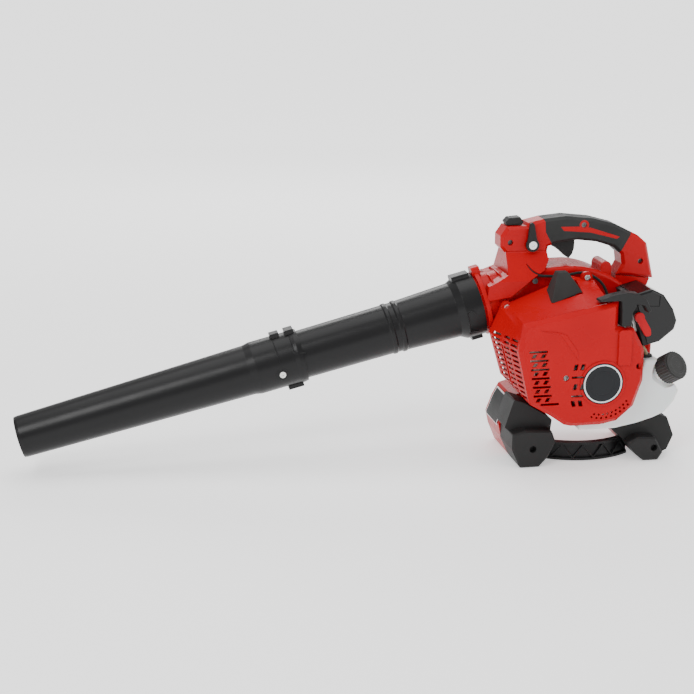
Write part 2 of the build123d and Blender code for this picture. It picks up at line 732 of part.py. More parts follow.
with BuildPart() as filter_cover:
    add(filter_shell(0.0))
    add(filter_shell(2.2), mode=Mode.SUBTRACT)
    # finger recess on the upper rear and two snap catches on the back
    with BuildSketch(tract_side(BASE_NEAR - 2)):
        with Locations((108, 19)):
            Rectangle(18, 15, rotation=-20)
    extrude(amount=-2.2, mode=Mode.SUBTRACT)
keep("filter_cover", filter_cover.part)

CHOKE_NEAR, CHOKE_FAR = -103.5, -99.0
with BuildPart() as choke_lever:
    with BuildSketch(tract_side(CHOKE_FAR)):
        with Locations(CHOKE_AT):
            Circle(7)
        with BuildLine():
            Polyline(
                (CHOKE_AT[0] - 5, CHOKE_AT[1] - 4), (CHOKE_AT[0] + 6, CHOKE_AT[1] - 2),
                (CHOKE_AT[0] + 11, CHOKE_AT[1] - 22), (CHOKE_AT[0] + 9, CHOKE_AT[1] - 31),
                (CHOKE_AT[0] + 1, CHOKE_AT[1] - 29), close=True)
        make_face()
    extrude(amount=CHOKE_FAR - CHOKE_NEAR)
    fillet(edges().filter_by(Axis.Y).sort_by(Axis.Z)[:2], radius=3)
    with BuildSketch(tract_side(BASE_NEAR + 10)):
        with Locations(CHOKE_AT):
            Circle(CHOKE_SHAFT_R)
    extrude(amount=BASE_NEAR + 10 - CHOKE_FAR)
keep("choke_lever", choke_lever.part)

# ================================================================ fuel tank
TANK_NEAR, TANK_FAR = -94.5, -40.0
TANK_OUTLINE = [
    (-22, 50), (32, 50), (65, 56), (89, 63), (106, 70), (120, 86), (126, 101),
    (104, 141), (90, 150), (73, 149), (62, 120), (46, 94), (28, 86), (14, 84), (13, 66), (-22, 66),
]
TANK_WALL = 2.2
FILLER = Vector(104, -80.0, 126.0)
FILLER_AXIS = Vector(0.40, -0.74, 0.54).normalized()
NECK_R, NECK_BORE_R, NECK_LENGTH = 15.0, 12.0, 20.0
CAP_R, CAP_LENGTH = 21.0, 21.0


def filler_plane(out):
    """Plane square to the filler neck, out from the tank's sloping shoulder."""
    return Plane(origin=FILLER + FILLER_AXIS * out, x_dir=(0, 0, 1), z_dir=FILLER_AXIS)


def tank_solid(inset):
    """The tank's outside, or with an inset the fuel space."""
    with BuildPart() as tank:
        with BuildSketch(side(TANK_FAR - inset)):
            with BuildLine():
                Polyline(*TANK_OUTLINE, close=True)
            make_face()
            fillet(vertices(), radius=4.5)
            if inset:
                offset(amount=-inset)
        extrude(amount=TANK_FAR - TANK_NEAR - 2 * inset)
        if not inset:
            fillet(faces().sort_by(Axis.Y)[0].edges(), radius=4)
        # flat seat round the filler neck
        add(disc(filler_plane(-inset), CAP_R + 3 + inset, 40), mode=Mode.SUBTRACT)
    return tank.part


GROMMET = (81.0, -76.0, 149.5)
GROMMET_R = 5.5
with BuildPart() as fuel_tank:
    add(tank_solid(0.0))
    with BuildSketch(filler_plane(-8)):
        Circle(NECK_R)
    extrude(amount=NECK_LENGTH + 8)
    add(tank_solid(TANK_WALL), mode=Mode.SUBTRACT)
    with BuildSketch(filler_plane(-16)):
        Circle(NECK_BORE_R)
    extrude(amount=NECK_LENGTH + 20, mode=Mode.SUBTRACT)
    with BuildSketch(Plane.XY.offset(GROMMET[2] - 6)):
        with Locations(GROMMET[:2]):
            Circle(GROMMET_R)
    extrude(amount=10, mode=Mode.SUBTRACT)
keep("fuel_tank", fuel_tank.part)

keep("cap_seal", disc(filler_plane(NECK_LENGTH + CLEAR), NECK_R, 1.6, NECK_BORE_R))

KNURLS = 30
CAP_START = NECK_LENGTH - 11.0
CAP_BORE_END = NECK_LENGTH + CLEAR + 1.6 + CLEAR
with BuildPart() as fuel_cap:
    with BuildSketch(filler_plane(CAP_START)):
        Circle(CAP_R - 1)
        with PolarLocations(CAP_R - 1.4, KNURLS):
            Circle(1.3)
    extrude(amount=CAP_LENGTH)
    with BuildSketch(filler_plane(CAP_START + CAP_LENGTH)):
        Circle(CAP_R - 2.5)
    extrude(amount=2.0)
    with BuildSketch(filler_plane(CAP_START - 1)):
        Circle(NECK_R + CLEAR)
    extrude(amount=CAP_BORE_END - CAP_START + 1, mode=Mode.SUBTRACT)
keep("fuel_cap", fuel_cap.part)

LINE_R = 2.6
LINE_END = PORT + OUT_PORT * 66 - UP_BORE * CARB_HALF_D
FUEL_ROUTE = [
    (GROMMET[0], GROMMET[1], 138.0),
    (GROMMET[0], GROMMET[1], 160.0),
    (LINE_END.X + 6, -72.0, 174.0),
    (LINE_END.X, -70.0, LINE_END.Z + 1.0),
]
with BuildPart() as fuel_lines:
    add(hose(FUEL_ROUTE, LINE_R))
    add(carburettor.part, mode=Mode.SUBTRACT)
keep("fuel_lines", fuel_lines.part)

with BuildPart() as tank_grommet:
    with BuildSketch(Plane.XY.offset(GROMMET[2] - 4)):
        with Locations(GROMMET[:2]):
            Circle(GROMMET_R)
    extrude(amount=4)
    with BuildSketch(Plane.XY.offset(GROMMET[2])):
        with Locations(GROMMET[:2]):
            Circle(GROMMET_R + 3)
    extrude(amount=3)
    with BuildSketch(Plane.XY.offset(GROMMET[2] - 5)):
        with Locations(GROMMET[:2]):
            Circle(LINE_R)
    extrude(amount=10, mode=Mode.SUBTRACT)
    add(fuel_tank.part, mode=Mode.SUBTRACT)
    add(fuel_lines.part, mode=Mode.SUBTRACT)
keep("tank_grommet", tank_grommet.part)

keep("fuel_filter", disc(Plane.XY.offset(118).shift_origin((GROMMET[0], GROMMET[1], 118)), 4, 20))

# ================================================================ engine cover
FACE = [
    (-115, 216), (20, 243), (20, 207), (44, 203), (60, 172), (60, 128),
    (48, 92), (24, 71), (0, 66.5), (-42, 66.5), (-52, 69), (-72, 83), (-101, 100),
    (-106, 114), (-121, 178),
]
DEEP_NEAR = [
    (-42, 66.5), (-52, 69), (-72, 83), (-101, 100), (-106, 114), (-121, 178),
    (-115, 216), (-57, 227.6), (-26, 233.8),
]
DEEP_FAR = [
    (-46, 86), (-58, 88), (-76, 92), (-104, 104), (-124, 126), (-142, 188),
    (-127, 224), (-57, 251), (-26, 264),
]
DEEP_EDGE = 8.0          # the deep half is open on its carburettor side, from here on
NEAR_RISE, FAR_RISE = 0.2, -0.18     # slope of the roof's last stretch
COVER_BACK = -96.0       # rim of the shallow starter half
DEEP_BACK = -46.0        # rim of the deep half over the cylinder and muffler
FACE_CHAMFER = 6.0
EARS = [(-119.0, 224.0), (-3.0, 262.0)]
EAR_NEAR = -52.0
PLUG_HOLE = (-54.0, -20.0, -87.5, -54.0)     # x and y limits of the opening in the roof


def section(plane, points, inset):
    """An outline on a plane, drawn in by inset."""
    with BuildSketch(plane) as outline:
        with BuildLine():
            Polyline(*points, close=True)
        make_face()
        if inset:
            offset(amount=-inset, kind=Kind.INTERSECTION)
    return outline.sketch


def deep_outline(points, rise, edge):
    """Outline of the deep half, its roof and floor run on to the open edge."""
    roof_x, roof_z = points[-1]
    return points + [(edge, roof_z + rise * (edge - roof_x)), (edge, points[0][1])]


def cover_space(inset):
    """Outside of the engine cover, or with an inset the space under it."""
    near = COVER_NEAR + inset
    open_by = 1.0 if inset else 0.0
    back, deep_back = COVER_BACK + open_by, DEEP_BACK + open_by
    edge = DEEP_EDGE + 3 * inset
    with BuildPart() as space:
        loft([
            section(side(near), FACE, inset + FACE_CHAMFER).face(),
            section(side(near + FACE_CHAMFER), FACE, inset).face(),
        ], ruled=True)
        extrude(section(side(back), FACE, inset), amount=back - near - FACE_CHAMFER)
        loft([
            section(side(near + FACE_CHAMFER + 2), deep_outline(DEEP_NEAR, NEAR_RISE, edge),
                    inset).face(),
            section(side(deep_back), deep_outline(DEEP_FAR, FAR_RISE, edge), inset).face(),
        ], ruled=True)
    return space.part


def slant(x, z, width, height, lean):
    """An upright slot leaning to one side, as a closed outline."""
    return [(x, z), (x + width, z), (x + width + lean, z + height), (x + lean, z + height)]


LOUVRE_ROWS = 7
BADGE_R = 29.0
RIB_RISE, RIM_RISE = 3.0, 1.4
LOUVRE_PITCH = 12.6
GRILLE_ROWS, GRILLE_PITCH = 12, 7.4
ROPE_Y = (REEL_NEAR + REEL_FAR) / 2
with BuildPart() as engine_cover:
    add(cover_space(0.0))
    add(cover_space(WALL), mode=Mode.SUBTRACT)
    # ears for the two cover screws
    for x, z in EARS:
        with BuildSketch(side(DEEP_BACK, x, z)):
            Circle(8)
        extrude(amount=DEEP_BACK - EAR_NEAR)
    # upright rib in front of the rope, and the raised rim round the badge
    with BuildSketch(side(COVER_NEAR + 1)):
        with Locations((29.5, 178)):
            RectangleRounded(19, 50, 4)
    extrude(amount=RIB_RISE + 1)
    add(disc(shaft(COVER_NEAR + 1), BADGE_R + 3.5, RIM_RISE + 1, BADGE_R + 0.4))
    # starter post that the reel turns on
    add(disc(shaft(COVER_NEAR + 1), POST_R, -(-112.2 - COVER_NEAR - 1)))
    # louvres beside the cylinder: rows of bars and of leaning windows
    with BuildSketch(side(COVER_NEAR + 12)):
        for row in range(LOUVRE_ROWS):
            z = 98.0 + row * LOUVRE_PITCH
            left = -105.0 - 1.6 * row + (9 if row == 0 else 0)
            with Locations((left + 21, z + 3.2)):
                Rectangle(26, 3)
            for x in (left + 11, left + 24):
                if row:
                    with BuildLine():
                        Polyline(*slant(x, z - 5.5, 6, 5.6, 3), close=True)
                    make_face()
        # windows left of the badge
        for z in (96.0, 120.0, 148.0):
            for x in (-43.0, -33.0):
                with BuildLine():
                    Polyline(*slant(x, z, 5.5, 8.5, 2 if z > 100 else -2), close=True)
                make_face()
        with Locations((-36, 111), (-36, 138)):
            Rectangle(17, 3)
        # two curved rows of diamonds under the badge
        for radius, count in ((50.0, 9), (45.0, 9)):
            with Locations((0, CRANK_Z)):
                with PolarLocations(radius, count, -106 if radius > 47 else -103, 74):
                    Rectangle(2.6, 2.6, rotation=45)
    extrude(amount=14, mode=Mode.SUBTRACT)
    # bolt wells
    with BuildSketch(side(COVER_NEAR + 3)):
        with Locations((-52.8, 137.6), (52, 150)):
            Circle(4.2)
    extrude(amount=6, mode=Mode.SUBTRACT)
    # front grille: bars across the machine with an upright window in the middle
    with BuildSketch(Plane.YZ.offset(-152)):
        for row in range(GRILLE_ROWS):
            for y, width in ((-106, 17), (-87, 14), (-62, 20)):
                with Locations((y, 108 + row * GRILLE_PITCH)):
                    Rectangle(width, 3.6)
        with Locations((-76, 146)):
            Rectangle(5, 62)
    extrude(amount=60, mode=Mode.SUBTRACT)
    # opening over the spark plug, rope eye
    with BuildSketch(Plane.XY.offset(220)):
        with Locations(((PLUG_HOLE[0] + PLUG_HOLE[1]) / 2, (PLUG_HOLE[2] + PLUG_HOLE[3]) / 2)):
            Rectangle(PLUG_HOLE[1] - PLUG_HOLE[0], PLUG_HOLE[3] - PLUG_HOLE[2])
    extrude(amount=60, mode=Mode.SUBTRACT)
    with BuildSketch(Plane.XY.offset(190)):
        with Locations((ROPE_LINE_R, ROPE_Y)):
            Circle(ROPE_R + 1.2)
    extrude(amount=30, mode=Mode.SUBTRACT)
keep("engine_cover", engine_cover.part)

with BuildPart() as heat_shield:
    add(cover_space(WALL + 1.2))
    add(cover_space(WALL + 2.2), mode=Mode.SUBTRACT)
    with BuildSketch(Plane.XY.offset(100)):
        with Locations((-118, -82)):
            Rectangle(64, 58)
    extrude(amount=106, mode=Mode.INTERSECT)
    add(muffler.part, mode=Mode.SUBTRACT)
keep("heat_shield", heat_shield.part.solids().sort_by(SortBy.VOLUME)[-1])

PLUG_TOP_Z = 276.0


def plug_cap_solid(inset):
    with BuildPart() as cap:
        loft([
            section(Plane.XY.offset(236 - (2 if inset else 0)), [
                (-65, -88), (-11, -88), (-11, -49), (-65, -49)], inset).face(),
            section(Plane.XY.offset(PLUG_TOP_Z - inset), [
                (-54, -76), (-39, -76), (-39, -62), (-54, -62)], inset * 0.6).face(),
        ], ruled=True)
    return cap.part


with BuildPart() as plug_cover:
    add(plug_cap_solid(0.0))
    fillet(edges().filter_by(Axis.Z, reverse=True).filter_by(
        lambda e: e.center().Z > 245), radius=1.5)
    add(plug_cap_solid(2.0), mode=Mode.SUBTRACT)
    add(cover_space(0.0), mode=Mode.SUBTRACT)
    add(plug_boot.part, mode=Mode.SUBTRACT)
    add(ignition_lead.part, mode=Mode.SUBTRACT)
keep("plug_cover", plug_cover.part)

with BuildPart() as badge:
    with BuildSketch(shaft(COVER_NEAR)):
        Circle(BADGE_R)
    extrude(amount=1.6)
    fillet(edges().filter_by(GeomType.CIRCLE).sort_by(Axis.Y)[0], radius=0.7)
keep("badge", badge.part)

# ================================================================ recoil starter
DRUM_R, REEL_R = 25.0, 37.0
CHEEK = 2.0
SPRING_WELL_R = 21.0
with BuildPart() as starter_reel:
    add(disc(shaft(REEL_FAR), REEL_R, CHEEK, POST_R + 0.06))
    add(disc(shaft(REEL_FAR), DRUM_R, REEL_FAR - REEL_NEAR, POST_R + 0.06))
    add(disc(shaft(REEL_NEAR + CHEEK), REEL_R, CHEEK, DRUM_R - 1))
    add(disc(shaft(REEL_FAR - 3.4), SPRING_WELL_R, 9, 8.0), mode=Mode.SUBTRACT)
keep("starter_reel", starter_reel.part)

keep("rope_winding", disc(shaft(REEL_FAR - CHEEK), ROPE_LINE_R + ROPE_R, 6.6, DRUM_R))

SPRING_TURNS = 6
with BuildPart() as recoil_spring:
    with BuildSketch(shaft(REEL_FAR - 4.2)):
        with BuildLine():
            radius, start = 9.5, Vector(9.5, 0)
            for half in range(2 * SPRING_TURNS):
                sign = 1 if half % 2 == 0 else -1
                end = start - Vector(sign * 2 * radius, 0)
                ThreePointArc(start, (start + end) / 2 + Vector(0, sign * radius), end)
                radius += 0.42
                start = end
        trace(line_width=0.4)
    extrude(amount=5.6)
keep("recoil_spring", recoil_spring.part)

STEM_BOTTOM = 207.6
ROPE_LOW = CRANK_Z + 16.5
keep("starter_rope", disc(
    Plane(origin=(ROPE_LINE_R, ROPE_Y, ROPE_LOW)), ROPE_R, STEM_BOTTOM - ROPE_LOW))

GRIP_HALF = 9.0
with BuildPart() as starter_grip:
    with BuildSketch(side(ROPE_Y + GRIP_HALF)):
        with BuildLine():
            Polyline(
                (24, STEM_BOTTOM), (38, STEM_BOTTOM), (39, 226), (45, 238), (56, 236),
                (62, 225), (66, 229), (58, 245), (46, 253), (30, 255), (12, 252), (-8, 246),
                (-9, 243.6), (12, 243.6), (22, 243.6), (23.5, 232), close=True)
        make_face()
        fillet(vertices().sort_by(Axis.X)[2:8], radius=1.0)
    extrude(amount=2 * GRIP_HALF)
    near_and_far = edges().filter_by(lambda e: abs(abs(e.center().Y - ROPE_Y) - GRIP_HALF) < 0.01)
    chamfer(near_and_far, length=0.8)
keep("starter_grip", starter_grip.part)

# ================================================================ handle
HANDLE = [
    (-113, 262), (-113, 294), (-120, 302), (-120, 318), (-111, 331), (-82, 331), (-80, 335.5),
    (-57, 340.5), (-25, 343.5), (16, 339), (49, 330), (83, 313), (97, 301), (109, 249.6),
    (53, 256.6), (61, 272), (59, 286), (47, 297), (21, 305.5), (-7, 309), (-38, 305.5),
    (-50, 301), (-53, 287), (-51, 262),
]
SKIRT_OUTLINE = [
    (-145, 231), (-111, 236), (-82, 259), (-60, 271), (-52, 284), (-53, 296), (-113, 296),
    (-114, 266), (-143, 252),
]
SKIRT_HALF = 45.0
GRIP_ZONE = [(-63, 350), (-56, 337), (-55, 322), (-44, 302), (-30, 296), (52, 280), (80, 330), (60, 350)]
INLAY = [(-33, 329), (-3, 328.5), (11, 326.5), (55, 312), (51, 309), (11, 319.5), (-28, 323)]
TRIGGER_PIVOT = (-49.0, 313.0)


ARCH_R = 150.0          # rounding of the handle's top line


def handle_solid(inset, half):
    with BuildPart() as bar:
        with BuildSketch(side(half)):
            with BuildLine():
                Polyline(*HANDLE, close=True)
            make_face()
            fillet(vertices().filter_by(lambda v: v.Z > 325 and v.X > -75), radius=ARCH_R)
            fillet(vertices().filter_by(lambda v: 299 < v.Z < 320 and v.X > 80), radius=14)
            fillet(vertices().filter_by(lambda v: 270 < v.Z < 310 and 20 < v.X < 70), radius=9)
            fillet(vertices().filter_by(
                lambda v: 264 < v.Z < 335 and -115 < v.X < -5), radius=4)
            if inset:
                offset(amount=-inset)
        extrude(amount=2 * half)
    return bar.part


with BuildPart() as handle_shape:
    add(handle_solid(0.0, HANDLE_HALF))
    rims = edges().filter_by(lambda e: abs(abs(e.center().Y) - HANDLE_HALF) < 0.01)
    chamfer(rims, length=4)
    # the front post widens into a skirt that straddles the outlet duct
    add(slab(side(SKIRT_HALF), SKIRT_OUTLINE, 2 * SKIRT_HALF))
    with BuildSketch(Plane.YZ.offset(-160)):
        with BuildLine():
            Polyline(
                (-SKIRT_HALF, 225), (-SKIRT_HALF, 258), (-POST_HALF, 294), (-POST_HALF, 350),
                (POST_HALF, 350), (POST_HALF, 294), (SKIRT_HALF, 258), (SKIRT_HALF, 225),
                close=True)
        make_face()
    extrude(amount=280, mode=Mode.INTERSECT)

with BuildPart() as handle_core:
    add(handle_solid(GRIP_SKIN, HANDLE_HALF - GRIP_SKIN))
    rims = edges().filter_by(lambda e: abs(abs(e.center().Y) - HANDLE_HALF + GRIP_SKIN) < 0.01)
    chamfer(rims, length=3)

with BuildPart() as grip_sleeve:
    add(slab(side(40), GRIP_ZONE, 80))
    add(handle_shape.part, mode=Mode.INTERSECT)
    add(handle_core.part, mode=Mode.SUBTRACT)
    add(slab(side(40), INLAY, 80), mode=Mode.SUBTRACT)
    with BuildSketch(side(40, 1.5, 330.5)):
        Circle(7)
    extrude(amount=80, mode=Mode.SUBTRACT)
    # slot for the trigger
    with BuildSketch(Plane.XY.offset(290)):
        with Locations((-28, 0)):
            Rectangle(52, 15)
    extrude(amount=30, mode=Mode.SUBTRACT)
keep("grip_sleeve", grip_sleeve.part)

SHELL = 2.6
CABLE_R = 2.0
CABLE_ROUTE = [
    (-57, 0, 318), (-82, -3, 306), (-90, -22, 286), (-76, -38, 264), (-40, -39, 262),
    (-2, -39.5, 268), (24, -43, 252), (33, -48.1, 226),
]
throttle_cable = hose(CABLE_ROUTE, CABLE_R)
cable_way = hose(CABLE_ROUTE, CABLE_R + 0.7)

HANDLE_SCREWS = [(-106.3, 308.6), (-73.9, 256.0), (88.0, 275.2), (1.5, 330.5)]
SCREW_R, SCREW_HEAD_R, SCREW_HEAD = 2.0, 4.0, 2.6
LEVER_PIVOT = (-75.3, 305.0)
LEVER_SHANK_R = 2.5
SWITCH_TOP, SWITCH_LOW = 343.0, 331.6



def screw_seat(x, z):
    """Depth across the machine at which a handle screw's head sits."""
    face = -SKIRT_HALF if z < 260 else -POST_HALF
    return face + (6.0 if z > 300 and x > -50 else 10.0)


with BuildPart() as handle_body:
    add(handle_shape.part)
    add(grip_sleeve.part, mode=Mode.SUBTRACT)
    add(handle_solid(SHELL + GRIP_SKIN, HANDLE_HALF - SHELL - GRIP_SKIN), mode=Mode.SUBTRACT)
    # bosses for the joining screws and the pivot of the trigger
    for x, z in HANDLE_SCREWS[:1] + HANDLE_SCREWS[2:]:
        with BuildSketch(side(HANDLE_HALF - 2, x, z)):
            Circle(5)
        extrude(amount=2 * HANDLE_HALF - 4)
    with BuildSketch(side(HANDLE_HALF - 2, *TRIGGER_PIVOT)):
        Circle(2.4)
    extrude(amount=2 * HANDLE_HALF - 4)
    # opening for the trigger in the underside
    with BuildSketch(Plane.XY.offset(290)):
        with Locations((-28, 0)):
            Rectangle(52, 15)
    extrude(amount=24, mode=Mode.SUBTRACT)
    with BuildSketch(side(HANDLE_HALF - 2, *TRIGGER_PIVOT)):
        Circle(2.4)
    extrude(amount=2 * HANDLE_HALF - 4)
    # shank bore of each screw and its deep well
    for x, z in HANDLE_SCREWS:
        with BuildSketch(side(HANDLE_HALF, x, z)):
            Circle(SCREW_R)
        extrude(amount=80, mode=Mode.SUBTRACT)
        with BuildSketch(side(screw_seat(x, z), x, z)):
            Circle(SCREW_HEAD_R)
        extrude(amount=30, mode=Mode.SUBTRACT)
    with BuildSketch(side(0, *LEVER_PIVOT)):
        Circle(LEVER_SHANK_R)
    extrude(amount=40, mode=Mode.SUBTRACT)
    add(scroll_outer, mode=Mode.SUBTRACT)
    add(volute.part, mode=Mode.SUBTRACT)
    add(cable_way, mode=Mode.SUBTRACT)

with BuildPart() as handle_left:
    add(handle_body.part)
    split(bisect_by=Plane.XZ, keep=Keep.TOP)

with BuildPart() as handle_right:
    add(handle_body.part)
    split(bisect_by=Plane.XZ, keep=Keep.BOTTOM)

keep("handle_left", handle_left.part)
keep("handle_right", handle_right.part)
keep("throttle_cable", throttle_cable)

TRIGGER_HALF = 6.5
with BuildPart() as throttle_trigger:
    with BuildSketch(side(TRIGGER_HALF)):
        with BuildLine():
            Polyline(
                (-53, 317), (-52, 308), (-44, 301), (-36, 297), (-28, 291), (-20, 283.5),
                (-16, 281), (-11, 287), (-8.5, 295), (-8, 304), (-9, 311), (-26, 314),
                (-42, 318), close=True)
        make_face()
        fillet(vertices(), radius=1.4)
    extrude(amount=2 * TRIGGER_HALF)
    with BuildSketch(side(TRIGGER_HALF + 1, *TRIGGER_PIVOT)):
        Circle(2.46)
    extrude(amount=2 * TRIGGER_HALF + 2, mode=Mode.SUBTRACT)
keep("throttle_trigger", throttle_trigger.part)

LEVER_FAR, LEVER_NEAR = -POST_HALF - CLEAR, -POST_HALF - 5.4
with BuildPart() as lock_lever:
    with BuildSketch(side(LEVER_FAR, *LEVER_PIVOT)):
        Circle(9.3)
        with BuildLine():
            Polyline((-7.5, 4), (-4.5, 31), (-1, 32.5), (1.5, 30), (6.5, 5), close=True)
        make_face()
        Circle(LEVER_SHANK_R + 0.06, mode=Mode.SUBTRACT)
    extrude(amount=LEVER_FAR - LEVER_NEAR)
    with BuildSketch(side(LEVER_NEAR + 1.6, *LEVER_PIVOT)):
        Circle(6.4)
    extrude(amount=4, mode=Mode.SUBTRACT)
keep("lock_lever", lock_lever.part)

with BuildPart() as lever_screw:
    with BuildSketch(side(-4, *LEVER_PIVOT)):
        Circle(LEVER_SHANK_R)
    extrude(amount=-LEVER_NEAR - 4 - 1.6 + 0.4)
    with BuildSketch(side(LEVER_NEAR + 1.2, *LEVER_PIVOT)):
        Circle(5.8)
    extrude(amount=2.2)
    with BuildSketch(side(LEVER_NEAR - 0.2, *LEVER_PIVOT)):
        RegularPolygon(2.2, 6)
    extrude(amount=1.2, mode=Mode.SUBTRACT)
    add(handle_left.part, mode=Mode.SUBTRACT)
keep("lever_screw", lever_screw.part)

SWITCH_HALF = 9.0
with BuildPart() as stop_switch:
    with BuildSketch(side(SWITCH_HALF)):
        with BuildLine():
            Polyline(
                (-109, SWITCH_LOW), (-88, SWITCH_LOW), (-85, 336), (-90, SWITCH_TOP),
                (-106, SWITCH_TOP - 1), (-111.5, 336), close=True)
        make_face()
        # finger grooves
        with Locations((-102, 343.2), (-98, 343.6), (-94, 344)):
            Circle(1.3, mode=Mode.SUBTRACT)
    extrude(amount=2 * SWITCH_HALF)
    chamfer(edges().filter_by(Axis.X), length=0.6)
keep("stop_switch", stop_switch.part)

# ================================================================ stand
FOOT_NEAR, FOOT_SPLIT, LEG_FAR = -98.0, -34.0, 40.0
FRONT_LEG = [
    (-106, 0), (-78, 0), (-64, 16), (-54, 35), (-60, 54), (-58, 70), (-70, 84), (-88, 92),
    (-102, 88), (-112, 70), (-121, 46), (-117, 27),
]
REAR_LEG = [
    (77, 0), (99, 0), (112, 10), (119, 38), (112, 70), (98, 92), (60, 78), (44, 60), (49, 32),
    (64, 14),
]
FRONT_FOOT_LOW = [
    (-106, 0), (-78, 0), (-66, 13), (-54.5, 35), (-61, 53), (-98, 55), (-118, 50), (-118, 27),
]
FRONT_FOOT_HIGH = [
    (-118, 50), (-98, 50), (-58, 48), (-56, 64), (-64, 70), (-96, 90), (-112, 96), (-125, 56),
]
REAR_FOOT_LOW = [
    (66, 9), (77, 0), (99, 0), (106, 11), (94, 34), (68, 36), (52, 28),
]
REAR_FOOT_HIGH = [
    (28, 49), (50, 30), (63, 13), (77, 0), (99, 0), (119, 9), (128, 30), (117, 58),
    (103, 62), (66, 51.5),
]


def leg(points):
    with BuildPart() as piece:
        with BuildSketch(side(LEG_FAR)):
            with BuildLine():
                Polyline(*points, close=True)
            make_face()
            fillet(vertices(), radius=3)
        extrude(amount=LEG_FAR - FOOT_SPLIT)
        chamfer(faces().sort_by(Axis.Y)[-1].edges(), length=2)
        add(volute.part, mode=Mode.SUBTRACT)
        add(scroll_inner, mode=Mode.SUBTRACT)
        add(crankcase.part, mode=Mode.SUBTRACT)
    return piece.part.solids().sort_by(SortBy.VOLUME)[-1]


def foot(low, high, hole, step_y):
    with BuildPart() as piece:
        with BuildSketch(side(FOOT_SPLIT)):
            with BuildLine():
                Polyline(*low, close=True)
            make_face()
            fillet(vertices(), radius=3)
        extrude(amount=FOOT_SPLIT - FOOT_NEAR)
        chamfer(faces().sort_by(Axis.Y)[0].edges(), length=2.5)
        with BuildSketch(side(FOOT_SPLIT)):
            with BuildLine():
                Polyline(*high, close=True)
            make_face()
            fillet(vertices(), radius=2)
        extrude(amount=FOOT_SPLIT - step_y)
        with BuildSketch(side(FOOT_NEAR + 9, *hole)):
            Circle(5)
        extrude(amount=12, mode=Mode.SUBTRACT)
    return piece.part


front_leg = leg(FRONT_LEG)
rear_leg = leg(REAR_LEG)
front_foot = foot(FRONT_FOOT_LOW, FRONT_FOOT_HIGH, (-88, 27), -80.0)
rear_foot = foot(REAR_FOOT_LOW, REAR_FOOT_HIGH, (92, 19), -78.0)
keep("front_leg", front_leg)
keep("rear_leg", rear_leg)
keep("front_foot", front_foot)
keep("rear_foot", rear_foot)

RAIL_R = 108.0
RAIL_FRONT = -82.0       # nearest point of the curved rail
RAIL_TOP = 27.0
RAIL_SPAN = 74.0         # degrees
RAIL_BRACES = 9
with BuildPart() as base_rail:
    for low, high, outer, inner in (
            (0.6, 4.0, 0, 11), (RAIL_TOP - 3.4, RAIL_TOP, 0, 11), (0.6, RAIL_TOP, 4, 7)):
        with BuildSketch(Plane.XY.offset(low)):
            with Locations((0, RAIL_FRONT + RAIL_R)):
                Circle(RAIL_R - outer)
                Circle(RAIL_R - inner, mode=Mode.SUBTRACT)
            with Locations((0, RAIL_FRONT + RAIL_R / 2)):
                Rectangle(2 * RAIL_R * sin(radians(RAIL_SPAN / 2)), RAIL_R, mode=Mode.INTERSECT)
        extrude(amount=high - low)
    for i in range(RAIL_BRACES):
        angle = radians(-90 + (i - (RAIL_BRACES - 1) / 2) * RAIL_SPAN / RAIL_BRACES)
        out = Vector(cos(angle), sin(angle), 0)
        brace = Plane(
            origin=Vector(0, RAIL_FRONT + RAIL_R, RAIL_TOP / 2) + out * (RAIL_R - 8),
            x_dir=(-sin(angle), cos(angle), 0), z_dir=out)
        with BuildSketch(brace):
            Rectangle(RAIL_TOP * 0.92, 1.8, rotation=52 if i % 2 else -52)
        extrude(amount=7)
    for piece in (front_leg, rear_leg, front_foot, rear_foot):
        add(piece, mode=Mode.SUBTRACT)
keep("base_rail", base_rail.part.solids().sort_by(SortBy.VOLUME)[-1])

# ================================================================ blow tube and nozzle
def turned(outer, inner):
    """A round tube from two outlines of station and radius, turned about the tube axis."""
    with BuildPart() as piece:
        with BuildSketch(tube_side()):
            with BuildLine():
                Polyline(*outer, *reversed(inner), close=True)
            make_face()
        revolve(axis=TUBE_AXIS)
    return piece.part


TUBE_WALL = 1.9
RIDGE_AT, RIDGE_R = 122.0, 37.4
with BuildPart() as blower_tube:
    add(turned(
        [(0, COLLAR_R), (COLLAR_LENGTH - 4, COLLAR_R), (COLLAR_LENGTH + 6, 39.6),
         (RIDGE_AT - 8, TUBE_R + 0.6), (RIDGE_AT - 6, RIDGE_R), (RIDGE_AT - 2, RIDGE_R),
         (RIDGE_AT, TUBE_R), (RIDGE_AT + 6, TUBE_R), (RIDGE_AT + 8, RIDGE_R - 0.4),
         (RIDGE_AT + 12, RIDGE_R - 0.4), (RIDGE_AT + 14, TUBE_R), (SLEEVE_START - 2, TUBE_END_R),
         (TUBE_LENGTH, TUBE_END_R)],
        [(0, SPIGOT_R + 0.02), (SPIGOT_END + 1, SPIGOT_R + 0.02), (COLLAR_LENGTH + 8, 37.4),
         (RIDGE_AT, TUBE_R - TUBE_WALL), (TUBE_LENGTH, TUBE_END_R - TUBE_WALL)]))
    # lug with a slot on top of the collar, and one below
    for up, length in ((COLLAR_R, 26), (-COLLAR_R, 16)):
        with BuildSketch(tube_plane(4)):
            with Locations((0, up)):
                RectangleRounded(22, 9, 2.5)
        extrude(amount=length)
    add(turned([(0, SPIGOT_R + 0.02), (SPIGOT_END + 1, SPIGOT_R + 0.02), (COLLAR_LENGTH + 8, 37.4)],
               [(0, 10), (SPIGOT_END + 1, 10), (COLLAR_LENGTH + 8, 10)]), mode=Mode.SUBTRACT)

